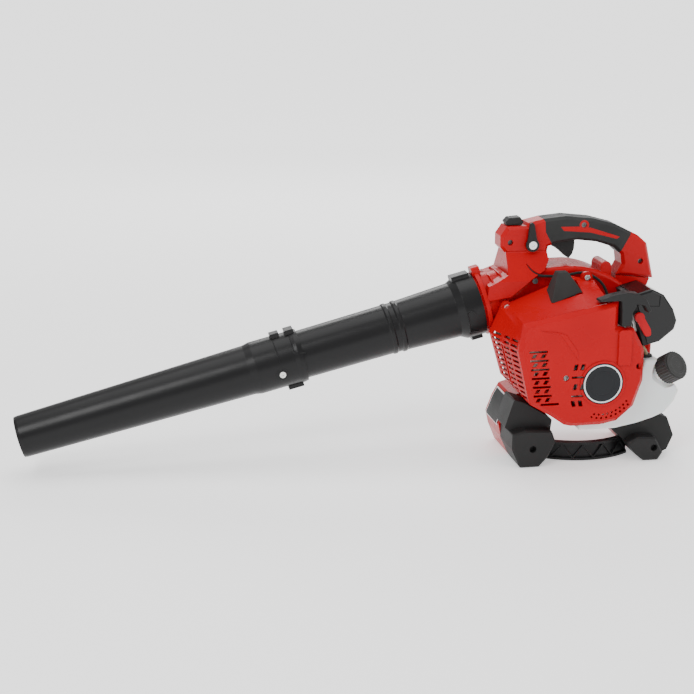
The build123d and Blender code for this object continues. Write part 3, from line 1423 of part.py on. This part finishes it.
SLEEVE_BORE = TUBE_END_R + 0.35
SCREW_STATION = 297.0
with BuildPart() as nozzle:
    add(turned(
        [(SLEEVE_START, SLEEVE_R), (SLEEVE_START + 6, SLEEVE_R + 1.2), (SLEEVE_START + 12, SLEEVE_R),
         (SLEEVE_END, SLEEVE_R), (SLEEVE_END + 10, SLEEVE_R - 2), (NOZZLE_END - 4, NOZZLE_R),
         (NOZZLE_END, NOZZLE_R - 0.6)],
        [(SLEEVE_START, SLEEVE_BORE), (TUBE_LENGTH + 0.6, SLEEVE_BORE),
         (TUBE_LENGTH + 0.7, TUBE_END_R - TUBE_WALL), (NOZZLE_END - NOZZLE_BORE_LENGTH, NOZZLE_BORE_R),
         (NOZZLE_END, NOZZLE_BORE_R)]))
    # bayonet blocks on top, hook boss and screw pad on the side
    for station, width in ((SLEEVE_START + 3, 22), (SLEEVE_START + 24, 18)):
        with BuildSketch(tube_plane(station)):
            with Locations((0, SLEEVE_R + 1)):
                RectangleRounded(width, 8, 2)
        extrude(amount=13)
    with BuildSketch(tube_plane(SLEEVE_START + 8)):
        with Locations((4, -SLEEVE_R - 1)):
            RectangleRounded(16, 8, 2.5)
    extrude(amount=22)
    screw_at = on_tube(SCREW_STATION, -9)
    with BuildSketch(side(-SLEEVE_R + 5, screw_at.X, screw_at.Z)):
        Circle(8)
    extrude(amount=5.4)
    add(turned([(SLEEVE_START - 3, SLEEVE_BORE), (TUBE_LENGTH + 0.6, SLEEVE_BORE)],
               [(SLEEVE_START - 3, 10), (TUBE_LENGTH + 0.6, 10)]), mode=Mode.SUBTRACT)
    with BuildSketch(side(-20, screw_at.X, screw_at.Z)):
        Circle(SCREW_R)
    extrude(amount=30, mode=Mode.SUBTRACT)
with BuildPart() as tube_holed:
    add(blower_tube.part)
    with BuildSketch(side(-20, screw_at.X, screw_at.Z)):
        Circle(SCREW_R)
    extrude(amount=30, mode=Mode.SUBTRACT)
keep("blower_tube", tube_holed.part)
keep("nozzle", nozzle.part)


def screw(x, y, z, length, head_r=SCREW_HEAD_R):
    """A pan-head screw facing the starter side, its head's seat at y."""
    with BuildPart() as piece:
        with BuildSketch(side(y, x, z)):
            Circle(head_r)
        extrude(amount=SCREW_HEAD)
        with BuildSketch(side(y + length, x, z)):
            Circle(SCREW_R)
        extrude(amount=length)
        with BuildSketch(side(y - SCREW_HEAD + 1.2, x, z)):
            RegularPolygon(1.8, 6)
        extrude(amount=2, mode=Mode.SUBTRACT)
    return piece.part


with BuildPart() as housing_screws:
    add(screw(screw_at.X, -SLEEVE_R - 0.4, screw_at.Z, 7, 4.4))
    for x, z in EARS:
        add(screw(x, EAR_NEAR, z, 12))
    for piece in (engine_cover.part, volute_left.part, nozzle.part, tube_holed.part,
                  throttle_cable):
        add(piece, mode=Mode.SUBTRACT)
keep("housing_screws", housing_screws.part)

# the handle's screws sit deep in their wells
with BuildPart() as handle_screws:
    for x, z in HANDLE_SCREWS:
        add(screw(x, screw_seat(x, z), z, 10 if z < 260 else 20))
    for piece in (handle_left.part, handle_right.part, volute_left.part, throttle_cable):
        add(piece, mode=Mode.SUBTRACT)
keep("handle_screws", handle_screws.part)

whole = Compound(list(NODES.values())).bounding_box()
print("box", [round(v, 1) for v in (*whole.min, *whole.max)], "nodes", len(NODES))
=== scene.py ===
import bpy
import bmesh
import json
from math import sin, cos, radians, pi
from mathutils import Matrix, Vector


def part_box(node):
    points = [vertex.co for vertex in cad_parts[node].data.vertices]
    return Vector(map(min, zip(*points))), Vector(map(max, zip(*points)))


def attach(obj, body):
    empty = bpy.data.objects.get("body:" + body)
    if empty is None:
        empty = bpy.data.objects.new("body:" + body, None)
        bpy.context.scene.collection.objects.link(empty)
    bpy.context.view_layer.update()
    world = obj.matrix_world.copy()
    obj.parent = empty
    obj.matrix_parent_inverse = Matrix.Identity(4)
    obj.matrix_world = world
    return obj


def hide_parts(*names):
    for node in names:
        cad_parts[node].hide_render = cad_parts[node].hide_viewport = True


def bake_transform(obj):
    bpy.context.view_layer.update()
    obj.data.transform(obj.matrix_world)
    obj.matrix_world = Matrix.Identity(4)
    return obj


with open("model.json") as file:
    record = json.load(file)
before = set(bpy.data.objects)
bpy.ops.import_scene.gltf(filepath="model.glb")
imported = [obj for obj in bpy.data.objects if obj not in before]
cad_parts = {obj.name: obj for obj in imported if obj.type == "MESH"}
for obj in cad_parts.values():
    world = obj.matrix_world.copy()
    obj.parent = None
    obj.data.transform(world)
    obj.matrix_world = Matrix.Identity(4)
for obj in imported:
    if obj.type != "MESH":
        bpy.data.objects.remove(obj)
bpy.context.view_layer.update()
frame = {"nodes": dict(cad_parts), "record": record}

# ================================================================ camera and light
AZIMUTH, ELEVATION = radians(-10.0), radians(15.0)
DISTANCE = 2.1033
LENS = 76.8
SENSOR = 36.0
AIM = Vector((-0.0020, 0.0330, 0.1624))
TO_CAMERA = Vector((sin(AZIMUTH) * cos(ELEVATION), -cos(AZIMUTH) * cos(ELEVATION), sin(ELEVATION)))

camera_data = bpy.data.cameras.new("camera")
camera_data.lens = LENS
camera_data.sensor_width = SENSOR
camera = bpy.data.objects.new("camera", camera_data)
camera.location = AIM + TO_CAMERA * DISTANCE
camera.rotation_euler = (-TO_CAMERA).to_track_quat("-Z", "Y").to_euler()
bpy.context.scene.collection.objects.link(camera)
bpy.context.scene.camera = camera

MACHINE = (0.1, 0.0, 0.15)
# Name, place, the point it is turned to, width and height in metres, power in watts.
LIGHTS = [
    ("key", (-1.4, -2.0, 2.4), MACHINE, (1.3, 1.3), 50),
    ("fill", (2.2, -1.8, 1.2), MACHINE, (1.2, 1.2), 14),
    ("top", (0.0, 0.3, 2.6), (0.0, 0.0, 0.1), (3.0, 2.0), 44),
    ("rim", (0.6, 2.4, 1.6), (0.1, 0.0, 0.2), (2.0, 1.0), 30),
]
WORLD_STRENGTH = 0.72


def area_light(name, place, aim, size, power):
    """A rectangular lamp at place, turned to aim."""
    data = bpy.data.lights.new(name, "AREA")
    data.shape = "RECTANGLE"
    data.size, data.size_y = size
    data.energy = power
    light = bpy.data.objects.new(name, data)
    light.location = place
    light.rotation_euler = (Vector(aim) - Vector(place)).to_track_quat("-Z", "Y").to_euler()
    bpy.context.scene.collection.objects.link(light)


for light_values in LIGHTS:
    area_light(*light_values)

world = bpy.data.worlds.new("studio")
world.use_nodes = True
world.node_tree.nodes["Background"].inputs["Color"].default_value = (1.0, 1.0, 1.0, 1.0)
world.node_tree.nodes["Background"].inputs["Strength"].default_value = WORLD_STRENGTH
bpy.context.scene.world = world


# ================================================================ materials
SOCKET_NAMES = {
    "coat": "Coat Weight",
    "specular": "Specular IOR Level",
    "transmission": "Transmission Weight",
    "sheen": "Sheen Weight",
    "subsurface": "Subsurface Weight",
}
BEVEL_SAMPLES = 4


class Surface:
    """A Principled material with noise in its colour, its gloss and its grain, all in object space."""

    def __init__(self, name, color, roughness, metallic=0.0):
        self.material = bpy.data.materials.new(name)
        self.material.use_nodes = True
        self.tree = self.material.node_tree
        self.shader = self.tree.nodes["Principled BSDF"]
        self.shader.inputs["Metallic"].default_value = metallic
        self.color = color
        self.roughness = roughness
        self.place = self.node("ShaderNodeTexCoord").outputs["Object"]
        self.rounding = None

    def node(self, kind, **settings):
        made = self.tree.nodes.new(kind)
        for key, value in settings.items():
            setattr(made, key, value)
        return made

    def link(self, source, target):
        self.tree.links.new(source, target)

    def noise(self, scale, detail, stretch=None):
        """Noise in object space, from 0 to 1."""
        made = self.node("ShaderNodeTexNoise")
        made.inputs["Scale"].default_value = scale
        made.inputs["Detail"].default_value = detail
        source = self.place
        if stretch:
            mapping = self.node("ShaderNodeMapping")
            mapping.inputs["Scale"].default_value = stretch
            self.link(source, mapping.inputs["Vector"])
            source = mapping.outputs["Vector"]
        self.link(source, made.inputs["Vector"])
        return made.outputs["Fac"]

    def spread(self, source, low, high, start=0.2, end=0.8):
        """Maps start..end of the source to low..high, with soft ends."""
        made = self.node("ShaderNodeMapRange", interpolation_type="SMOOTHSTEP")
        made.inputs["From Min"].default_value = start
        made.inputs["From Max"].default_value = end
        made.inputs["To Min"].default_value = low
        made.inputs["To Max"].default_value = high
        self.link(source, made.inputs["Value"])
        return made.outputs["Result"]

    def mix(self, factor, a, b):
        """A colour between a and b, each a colour or a socket."""
        made = self.node("ShaderNodeMix", data_type="RGBA")
        self.link(factor, made.inputs["Factor"])
        for socket, value in ((made.inputs[6], a), (made.inputs[7], b)):
            if isinstance(value, tuple):
                socket.default_value = (*value, 1.0)
            else:
                self.link(value, socket)
        return made.outputs[2]

    def tones(self, scale, amount, stretch=None):
        """The base colour drifts a little darker and lighter."""
        dark = tuple(c * (1 - amount) for c in self.color)
        light = tuple(min(1.0, c * (1 + amount)) for c in self.color)
        self.shade = self.mix(self.spread(self.noise(scale, 4.0, stretch), 0.0, 1.0), dark, light)
        return self

    def worn_and_highlit_edges(self, color, width, amount):
        """Corners are painted paler: partly rubbed wear, partly a painted highlight along the edges."""
        bevel = self.node("ShaderNodeBevel", samples=BEVEL_SAMPLES)
        bevel.inputs["Radius"].default_value = width
        geometry = self.node("ShaderNodeNewGeometry")
        dot = self.node("ShaderNodeVectorMath", operation="DOT_PRODUCT")
        self.link(bevel.outputs["Normal"], dot.inputs[0])
        self.link(geometry.outputs["Normal"], dot.inputs[1])
        # The mask picks out the corners; the paler colour laid there is partly rubbed wear, partly a
        # painted highlight.
        mask = self.spread(dot.outputs["Value"], amount, 0.0, 0.75, 0.99)
        self.shade = self.mix(mask, self.shade, color)
        return self

    def rounded(self, radius):
        """Corners catch the light as if they were rounded to this radius."""
        bevel = self.node("ShaderNodeBevel", samples=BEVEL_SAMPLES)
        bevel.inputs["Radius"].default_value = radius
        self.rounding = bevel.outputs["Normal"]
        return self

    def grain(self, scale, depth, detail=2.0, stretch=None):
        """Small bumps over the whole surface."""
        bump = self.node("ShaderNodeBump")
        bump.inputs["Strength"].default_value = 1.0
        bump.inputs["Distance"].default_value = depth
        self.link(self.noise(scale, detail, stretch), bump.inputs["Height"])
        if self.rounding:
            self.link(self.rounding, bump.inputs["Normal"])
        self.rounding = bump.outputs["Normal"]
        return self

    def gloss(self, scale=40.0, amount=0.06, stretch=None):
        """The roughness drifts by amount either way."""
        low, high = self.roughness - amount, self.roughness + amount
        drift = self.spread(self.noise(scale, 5.0, stretch), low, high)
        self.link(drift, self.shader.inputs["Roughness"])
        return self

    def sockets(self, **values):
        """Values that are the same all over the surface."""
        for key, value in values.items():
            self.shader.inputs[SOCKET_NAMES[key]].default_value = value
        return self

    def done(self):
        """Joins the colour and the bumps to the shader."""
        self.link(self.shade, self.shader.inputs["Base Color"])
        if self.rounding:
            self.link(self.rounding, self.shader.inputs["Normal"])
        return self.material


def moulded(name, color, roughness, grain=2600.0, depth=0.00003, edge=None, **extra):
    """Injection-moulded plastic with a fine skin, slight flow marks and softened corners."""
    surface = Surface(name, color, roughness).tones(14.0, 0.06)
    # Corners get a paler colour: partly rubbed wear, partly a painted highlight.
    surface.worn_and_highlit_edges(edge or tuple(min(1.0, c * 1.5 + 0.02) for c in color), 0.0007, 0.35)
    surface.rounded(0.0006).grain(grain, depth).gloss(30.0, 0.03).sockets(**extra)
    return surface.done()


def rubber(name, color):
    """Soft matt rubber."""
    surface = Surface(name, color, 0.62).tones(40.0, 0.14)
    # Corners get a paler colour: partly rubbed wear, partly a painted highlight.
    surface.worn_and_highlit_edges(tuple(c * 1.9 + 0.01 for c in color), 0.0009, 0.4)
    surface.rounded(0.0007).grain(1400.0, 0.00006, 4.0).gloss(60.0, 0.08)
    return surface.sockets(sheen=0.04, specular=0.25).done()


def metal(name, color, roughness, stretch=None, scale=300.0, depth=0.00003):
    """Metal with a fine grain; stretch draws the grain out along one axis, as grinding does."""
    surface = Surface(name, color, roughness, 1.0).tones(30.0, 0.12, stretch)
    # Corners get a paler colour: partly rubbed wear, partly a painted highlight.
    surface.worn_and_highlit_edges(tuple(min(1.0, c * 1.3) for c in color), 0.0006, 0.5)
    return surface.rounded(0.0005).grain(scale, depth, 4.0, stretch).gloss(50.0, 0.08, stretch).done()


def woven(name, color, scale):
    """Braided cord or foam: slanting bands with fine noise over them."""
    surface = Surface(name, color, 0.85).tones(200.0, 0.25)
    wave = surface.node("ShaderNodeTexWave", wave_type="BANDS", bands_direction="DIAGONAL")
    wave.inputs["Scale"].default_value = scale
    wave.inputs["Distortion"].default_value = 2.0
    surface.link(surface.place, wave.inputs["Vector"])
    bump = surface.node("ShaderNodeBump")
    bump.inputs["Distance"].default_value = 0.0004
    surface.link(wave.outputs["Fac"], bump.inputs["Height"])
    surface.rounding = bump.outputs["Normal"]
    return surface.grain(1200.0, 0.0001).gloss().done()


def translucent(name, color, roughness, **extra):
    """Milky or clear plastic that light gets into."""
    surface = Surface(name, color, roughness).tones(9.0, 0.05)
    return surface.rounded(0.0012).grain(500.0, 0.00004).gloss(20.0, 0.05).sockets(**extra).done()


MATERIALS = {
    # The red's edge colour is painted along its corners: partly rubbed wear, partly a painted highlight.
    "red_plastic": moulded("red_moulding", (0.40, 0.0015, 0.0045), 0.28, 1900.0, 0.00002,
                           edge=(0.44, 0.012, 0.014), specular=0.12),
    "choke_red": moulded("choke_moulding", (0.44, 0.002, 0.008), 0.3, specular=0.15),
    "black_plastic": moulded("tube_moulding", (0.0075, 0.0075, 0.0080), 0.31, 2400.0, 0.00003,
                             specular=0.22),
    "grey_plastic": moulded("dark_moulding", (0.0165, 0.0165, 0.0165), 0.5, 1700.0, 0.00007,
                            specular=0.18),
    "cap_plastic": moulded("cap_moulding", (0.024, 0.024, 0.023), 0.45),
    "gloss_black": moulded("lid_moulding", (0.006, 0.0062, 0.0064), 0.19, 3000.0, 0.00001,
                           specular=0.3),
    "grip_rubber": rubber("soft_grip", (0.0165, 0.0175, 0.017)),
    "black_rubber": rubber("black_rubber", (0.019, 0.0185, 0.0175)),
    "tank_plastic": translucent("tank_wall", (0.90, 0.84, 0.80), 0.42, subsurface=0.25),
    "clear_bulb": translucent("bulb", (0.85, 0.82, 0.74), 0.12, transmission=0.5),
    "hose_plastic": translucent("hose", (0.36, 0.28, 0.13), 0.3, transmission=0.2),
    "cable_sheath": rubber("sheath", (0.009, 0.009, 0.009)),
    "badge_face": moulded("badge_face", (0.011, 0.012, 0.014), 0.35, specular=0.18),
    "cast_aluminium": metal("cast_aluminium", (0.52, 0.52, 0.51), 0.45, None, 900.0, 0.00012),
    "fan_plastic": moulded("fan_nylon", (0.09, 0.09, 0.09), 0.5),
    "reel_plastic": moulded("reel_nylon", (0.13, 0.13, 0.12), 0.5),
    "steel": metal("ground_steel", (0.50, 0.50, 0.50), 0.32, (1.0, 30.0, 1.0)),
    "bright_screw": metal("zinc_screw", (0.72, 0.72, 0.70), 0.26, None, 500.0, 0.00002),
    "dark_screw": metal("blackened_screw", (0.10, 0.10, 0.10), 0.34, None, 500.0, 0.00002),
    "spark_ceramic": moulded("ceramic", (0.82, 0.82, 0.79), 0.2, coat=0.5),
    "coil_resin": moulded("resin", (0.03, 0.03, 0.034), 0.5),
    "muffler_steel": metal("muffler_sheet", (0.34, 0.31, 0.27), 0.46, None, 150.0, 0.00008),
    "rope_fibre": woven("rope", (0.36, 0.36, 0.34), 700.0),
    "filter_foam": woven("foam", (0.07, 0.07, 0.08), 900.0),
}
for part in frame["record"]["subparts"]:
    piece = frame["nodes"][part["node"]]
    piece.data.materials.clear()
    piece.data.materials.append(MATERIALS[part["material_slot"]])

# ================================================================ added pieces
# Points below are in millimetres. They start on the floor under the crank axis, in the blow tube's plane.
SHIFT = Vector((335.0, 33.0, 0.0))
CRANK_Z = 127.5
BADGE_PROUD = 1.6
COVER_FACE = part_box("badge")[0].y * 1000 - SHIFT.y + BADGE_PROUD
BEVEL_FROM = radians(25)
SHARP_FROM = radians(35)
TUBE_SLOPE = radians(14.2)
TUBE_ALONG = Vector((-cos(TUBE_SLOPE), 0.0, -sin(TUBE_SLOPE)))
TUBE_UP = Vector((-sin(TUBE_SLOPE), 0.0, cos(TUBE_SLOPE)))
TUBE_START = Vector((-148.6, 0.0, 218.9))


def at(x, y, z):
    """The same point in the machine's own frame, in metres."""
    return (Vector((x, y, z)) + SHIFT) / 1000.0


def on_tube(station, degrees, radius):
    """A point on the blow tube: 0 degrees is its top, 90 the side towards the starter."""
    turn = radians(degrees)
    side = TUBE_UP * (cos(turn) * radius) + Vector((0.0, -sin(turn) * radius, 0.0))
    return at(*(TUBE_START + TUBE_ALONG * station + side))


def finish_piece(obj, body, slot, bevel=0.0):
    """Gives a piece its material and its body; given a tuple (body, other body, start, end), it gets no
    body and its place is baked into its mesh.
    """
    bpy.context.scene.collection.objects.link(obj)
    obj.data.materials.append(MATERIALS[slot])
    if bevel:
        rounding = obj.modifiers.new("rounding", "BEVEL")
        rounding.width = bevel
        rounding.segments = 2
        rounding.limit_method = "ANGLE"
        rounding.angle_limit = BEVEL_FROM
    if obj.type == "MESH":
        for face in obj.data.polygons:
            face.use_smooth = True
        obj.data.set_sharp_from_angle(angle=SHARP_FROM)
    if isinstance(body, tuple):
        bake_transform(obj)
    else:
        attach(obj, body)
    return obj


def mesh_piece(name, points, faces, body, slot, bevel=0.0):
    """A piece from points and faces, with its normals turned outwards."""
    mesh = bpy.data.meshes.new(name)
    mesh.from_pydata([tuple(p) for p in points], [], faces)
    work = bmesh.new()
    work.from_mesh(mesh)
    bmesh.ops.recalc_face_normals(work, faces=work.faces)
    work.to_mesh(mesh)
    work.free()
    return finish_piece(bpy.data.objects.new(name, mesh), body, slot, bevel)


def prism(name, outline, offset, body, slot, bevel):
    """A closed plate: outline points, and the same points moved by offset."""
    count = len(outline)
    points = list(outline) + [p + offset for p in outline]
    faces = [tuple(range(count)), tuple(range(2 * count - 1, count - 1, -1))]
    faces += [(i, (i + 1) % count, (i + 1) % count + count, i + count) for i in range(count)]
    return mesh_piece(name, points, faces, body, slot, bevel)


def lathe(name, profile, origin, axis, body, slot, steps=72):
    """Turns a closed line of (radius, height) pairs in mm about an axis through origin."""
    axis = Vector(axis).normalized()
    across = axis.orthogonal().normalized()
    other = axis.cross(across)
    points = []
    for step in range(steps):
        turn = 2 * pi * step / steps
        out = across * cos(turn) + other * sin(turn)
        points += [origin + (out * r + axis * h) / 1000.0 for r, h in profile]
    count = len(profile)
    faces = []
    for step in range(steps):
        a, b = step * count, (step + 1) % steps * count
        for i in range(count):
            j = (i + 1) % count
            faces.append((a + i, a + j, b + j, b + i))
    return mesh_piece(name, points, faces, body, slot)


def bead(name, points, width, body, slot, closed=False):
    """A moulded ridge along points, half sunk in the surface under it."""
    curve = bpy.data.curves.new(name, "CURVE")
    curve.dimensions = "3D"
    curve.bevel_depth = width / 2000.0
    curve.bevel_resolution = 2
    curve.use_fill_caps = True
    line = curve.splines.new("POLY")
    line.points.add(len(points) - 1)
    for target, p in zip(line.points, points):
        target.co = (*p, 1.0)
    line.use_cyclic_u = closed
    return finish_piece(bpy.data.objects.new(name, curve), body, slot)


# ---------------------------------------------------------------- badge, label plate, cover relief
badge_at = at(0.0, COVER_FACE, CRANK_Z)
lathe("badge_ring", [(25.4, 1.2), (25.6, 2.0), (27.6, 2.0), (27.8, 1.2)], badge_at, (0, -1, 0),
      "housing", "tank_plastic")
lathe("badge_inner_ring", [(16.6, 1.2), (16.8, 1.85), (17.6, 1.85), (17.8, 1.2)], badge_at, (0, -1, 0),
      "housing", "badge_face")

FACET_DEPTH = Vector((0, -0.0013, 0))
FACET = [(-92, 206.5), (-66, 203.5), (-54, 199.0), (-38, 176.0), (-35.5, 162.0), (-63, 199.5)]
prism("cover_facet", [at(x, COVER_FACE + 0.4, z) for x, z in FACET], FACET_DEPTH,
      "housing", "red_plastic", 0.0006)

# A plate with a pale border on the sloping front of the front leg, left blank.
LEG_FRONT = [(-104.2, 86.2), (-112.8, 70.2), (-121.8, 46.6), (-121.0, 42.5)]


def leg_sheet(name, near, far, low, high, lift, thickness, slot):
    """A thin sheet bent over the leg's front between two widths, its ends drawn in by low and high."""
    line = [Vector((x, 0.0, z)) for x, z in LEG_FRONT]
    line[0] = line[0].lerp(line[1], high)
    line[-1] = line[-1].lerp(line[-2], low)
    out = Vector((-0.93, 0.0, 0.36))
    points, faces = [], []
    for level in (lift, lift + thickness):
        for p in line:
            points += [at(*(p + out * level + Vector((0, y, 0)))) for y in (near, far)]
    count = 2 * len(line)
    for i in range(len(line) - 1):
        a = 2 * i
        faces.append((a, a + 1, a + 3, a + 2))
        faces.append((a + count, a + 2 + count, a + 3 + count, a + 1 + count))
        faces.append((a, a + 2, a + 2 + count, a + count))
        faces.append((a + 1, a + 1 + count, a + 3 + count, a + 3))
    last = count - 2
    faces.append((0, count, count + 1, 1))
    faces.append((last, last + 1, last + 1 + count, last + count))
    return mesh_piece(name, points, faces, "housing", slot)


leg_sheet("label_border", near=-28, far=30, low=0.0, high=0.12, lift=0.1, thickness=0.5,
          slot="tank_plastic")
leg_sheet("label_plate", near=-26, far=28, low=0.35, high=0.24, lift=0.3, thickness=0.5,
          slot="grey_plastic")

# ---------------------------------------------------------------- moulded lines on the blow tube
COLLAR_R, SLEEVE_R = 44.8, 37.6
SLEEVE_AT = 262.0


def tube_bead(name, corners, radius, width):
    """A ridge on the tube through (station, degrees) corners, its runs cut up to follow the round."""
    points = []
    for (s0, d0), (s1, d1) in zip(corners, corners[1:]):
        steps = max(2, int(abs(d1 - d0) / 6) + 1)
        for i in range(steps):
            t = i / steps
            points.append(on_tube(s0 + (s1 - s0) * t, d0 + (d1 - d0) * t, radius))
    points.append(on_tube(corners[-1][0], corners[-1][1], radius))
    return bead(name, points, width, "housing", "black_plastic")


tube_bead("collar_track", [(13, 92), (16, 86), (21, 84), (25, 88), (25, 128), (13, 132)], COLLAR_R, 2.0)
tube_bead("collar_track_far", [(13, -92), (16, -86), (21, -84), (25, -88), (25, -128), (13, -132)],
          COLLAR_R, 2.0)
tube_bead("sleeve_hook", [(SLEEVE_AT + 11, 18), (SLEEVE_AT + 11, 62), (SLEEVE_AT + 8, 70),
                          (SLEEVE_AT - 4, 72)], SLEEVE_R, 1.8)
tube_bead("sleeve_line", [(SLEEVE_AT + 35, 14), (SLEEVE_AT + 34, 78)], SLEEVE_R, 1.6)
tube_bead("sleeve_hook_far", [(SLEEVE_AT + 11, -18), (SLEEVE_AT + 11, -62), (SLEEVE_AT + 8, -70),
                              (SLEEVE_AT - 4, -72)], SLEEVE_R, 1.8)

# ---------------------------------------------------------------- fuel cap
CAP_AXIS = Vector((0.40, -0.74, 0.54)).normalized()
FILLER = (104.0, -80.0, 126.0)
CAP_HEIGHT = 0.032
cap_top = at(*FILLER) + CAP_AXIS * CAP_HEIGHT
lathe("cap_ring", [(11.0, -0.4), (11.6, 0.7), (14.0, 0.7), (14.8, -0.4)], cap_top, CAP_AXIS, "cap",
      "cap_plastic")
lathe("cap_button", [(0.05, -0.4), (0.05, 0.8), (4.2, 0.6), (5.0, -0.4)], cap_top, CAP_AXIS, "cap",
      "cap_plastic", 48)

# ---------------------------------------------------------------- starter rope
# It runs from the housing at its foot to the grip at its top, as a fixed mesh tied to neither.
ROPE_LOW, ROPE_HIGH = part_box("starter_rope")
ROPE_R = (ROPE_HIGH.x - ROPE_LOW.x) * 500.0
ROPE_LENGTH = (ROPE_HIGH.z - ROPE_LOW.z) * 1000.0
ROPE_RINGS = 40
ROPE_CORE = 0.05
rope_foot = Vector(((ROPE_LOW.x + ROPE_HIGH.x) / 2, (ROPE_LOW.y + ROPE_HIGH.y) / 2, ROPE_LOW.z))
rope_top = rope_foot + Vector((0.0, 0.0, ROPE_LENGTH / 1000.0))
rope_side = [(ROPE_R, ROPE_LENGTH * i / ROPE_RINGS) for i in range(ROPE_RINGS + 1)]
rope = lathe("rope", [(ROPE_CORE, 0.0)] + rope_side + [(ROPE_CORE, ROPE_LENGTH)], rope_foot, (0, 0, 1),
             ("housing", "pull_handle", rope_foot, rope_top), "rope_fibre", 20)
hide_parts("starter_rope")

# ---------------------------------------------------------------- far side of the scroll
SCROLL_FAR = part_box("volute_right")[1].y * 1000 - SHIFT.y
for ring, radius in (("scroll_ring", 84.0), ("scroll_ring_inner", 76.0)):
    bead(ring, [at(radius * cos(radians(a)), SCROLL_FAR - 0.3, CRANK_Z + radius * sin(radians(a)))
                for a in range(0, 360, 5)], 1.8, "housing", "red_plastic", closed=True)

# ---------------------------------------------------------------- floor
FLOOR_HALF = 30
FLOOR_DROP = 0.0005
GLOW_FROM, GLOW_TO = 0.4, 4.0
GLOW_NEAR, GLOW_FAR = 0.5, 1.45
floor_corners = [(-FLOOR_HALF, -FLOOR_HALF, 0), (FLOOR_HALF, -FLOOR_HALF, 0),
                 (FLOOR_HALF, FLOOR_HALF, 0), (-FLOOR_HALF, FLOOR_HALF, 0)]
floor_mesh = bpy.data.meshes.new("floor")
floor_mesh.from_pydata(floor_corners, [], [(0, 1, 2, 3)])
floor = bpy.data.objects.new("floor", floor_mesh)
bpy.context.scene.collection.objects.link(floor)
floor_paint = Surface("floor_paint", (0.93, 0.93, 0.93), 0.85).tones(0.8, 0.01)
floor_paint.shader.inputs["Emission Color"].default_value = (1.0, 1.0, 1.0, 1.0)
# The floor glows more with the distance from the machine, so that it stays pale to the horizon.
away = floor_paint.node("ShaderNodeVectorMath", operation="LENGTH")
floor_paint.link(floor_paint.place, away.inputs[0])
glow = floor_paint.node("ShaderNodeMapRange", interpolation_type="SMOOTHSTEP")
glow.inputs["From Min"].default_value = GLOW_FROM
glow.inputs["From Max"].default_value = GLOW_TO
glow.inputs["To Min"].default_value = GLOW_NEAR
glow.inputs["To Max"].default_value = GLOW_FAR
floor_paint.link(away.outputs["Value"], glow.inputs["Value"])
floor_paint.link(glow.outputs["Result"], floor_paint.shader.inputs["Emission Strength"])
floor_mesh.materials.append(floor_paint.gloss(2.0, 0.03).done())
floor.location.z = -FLOOR_DROP
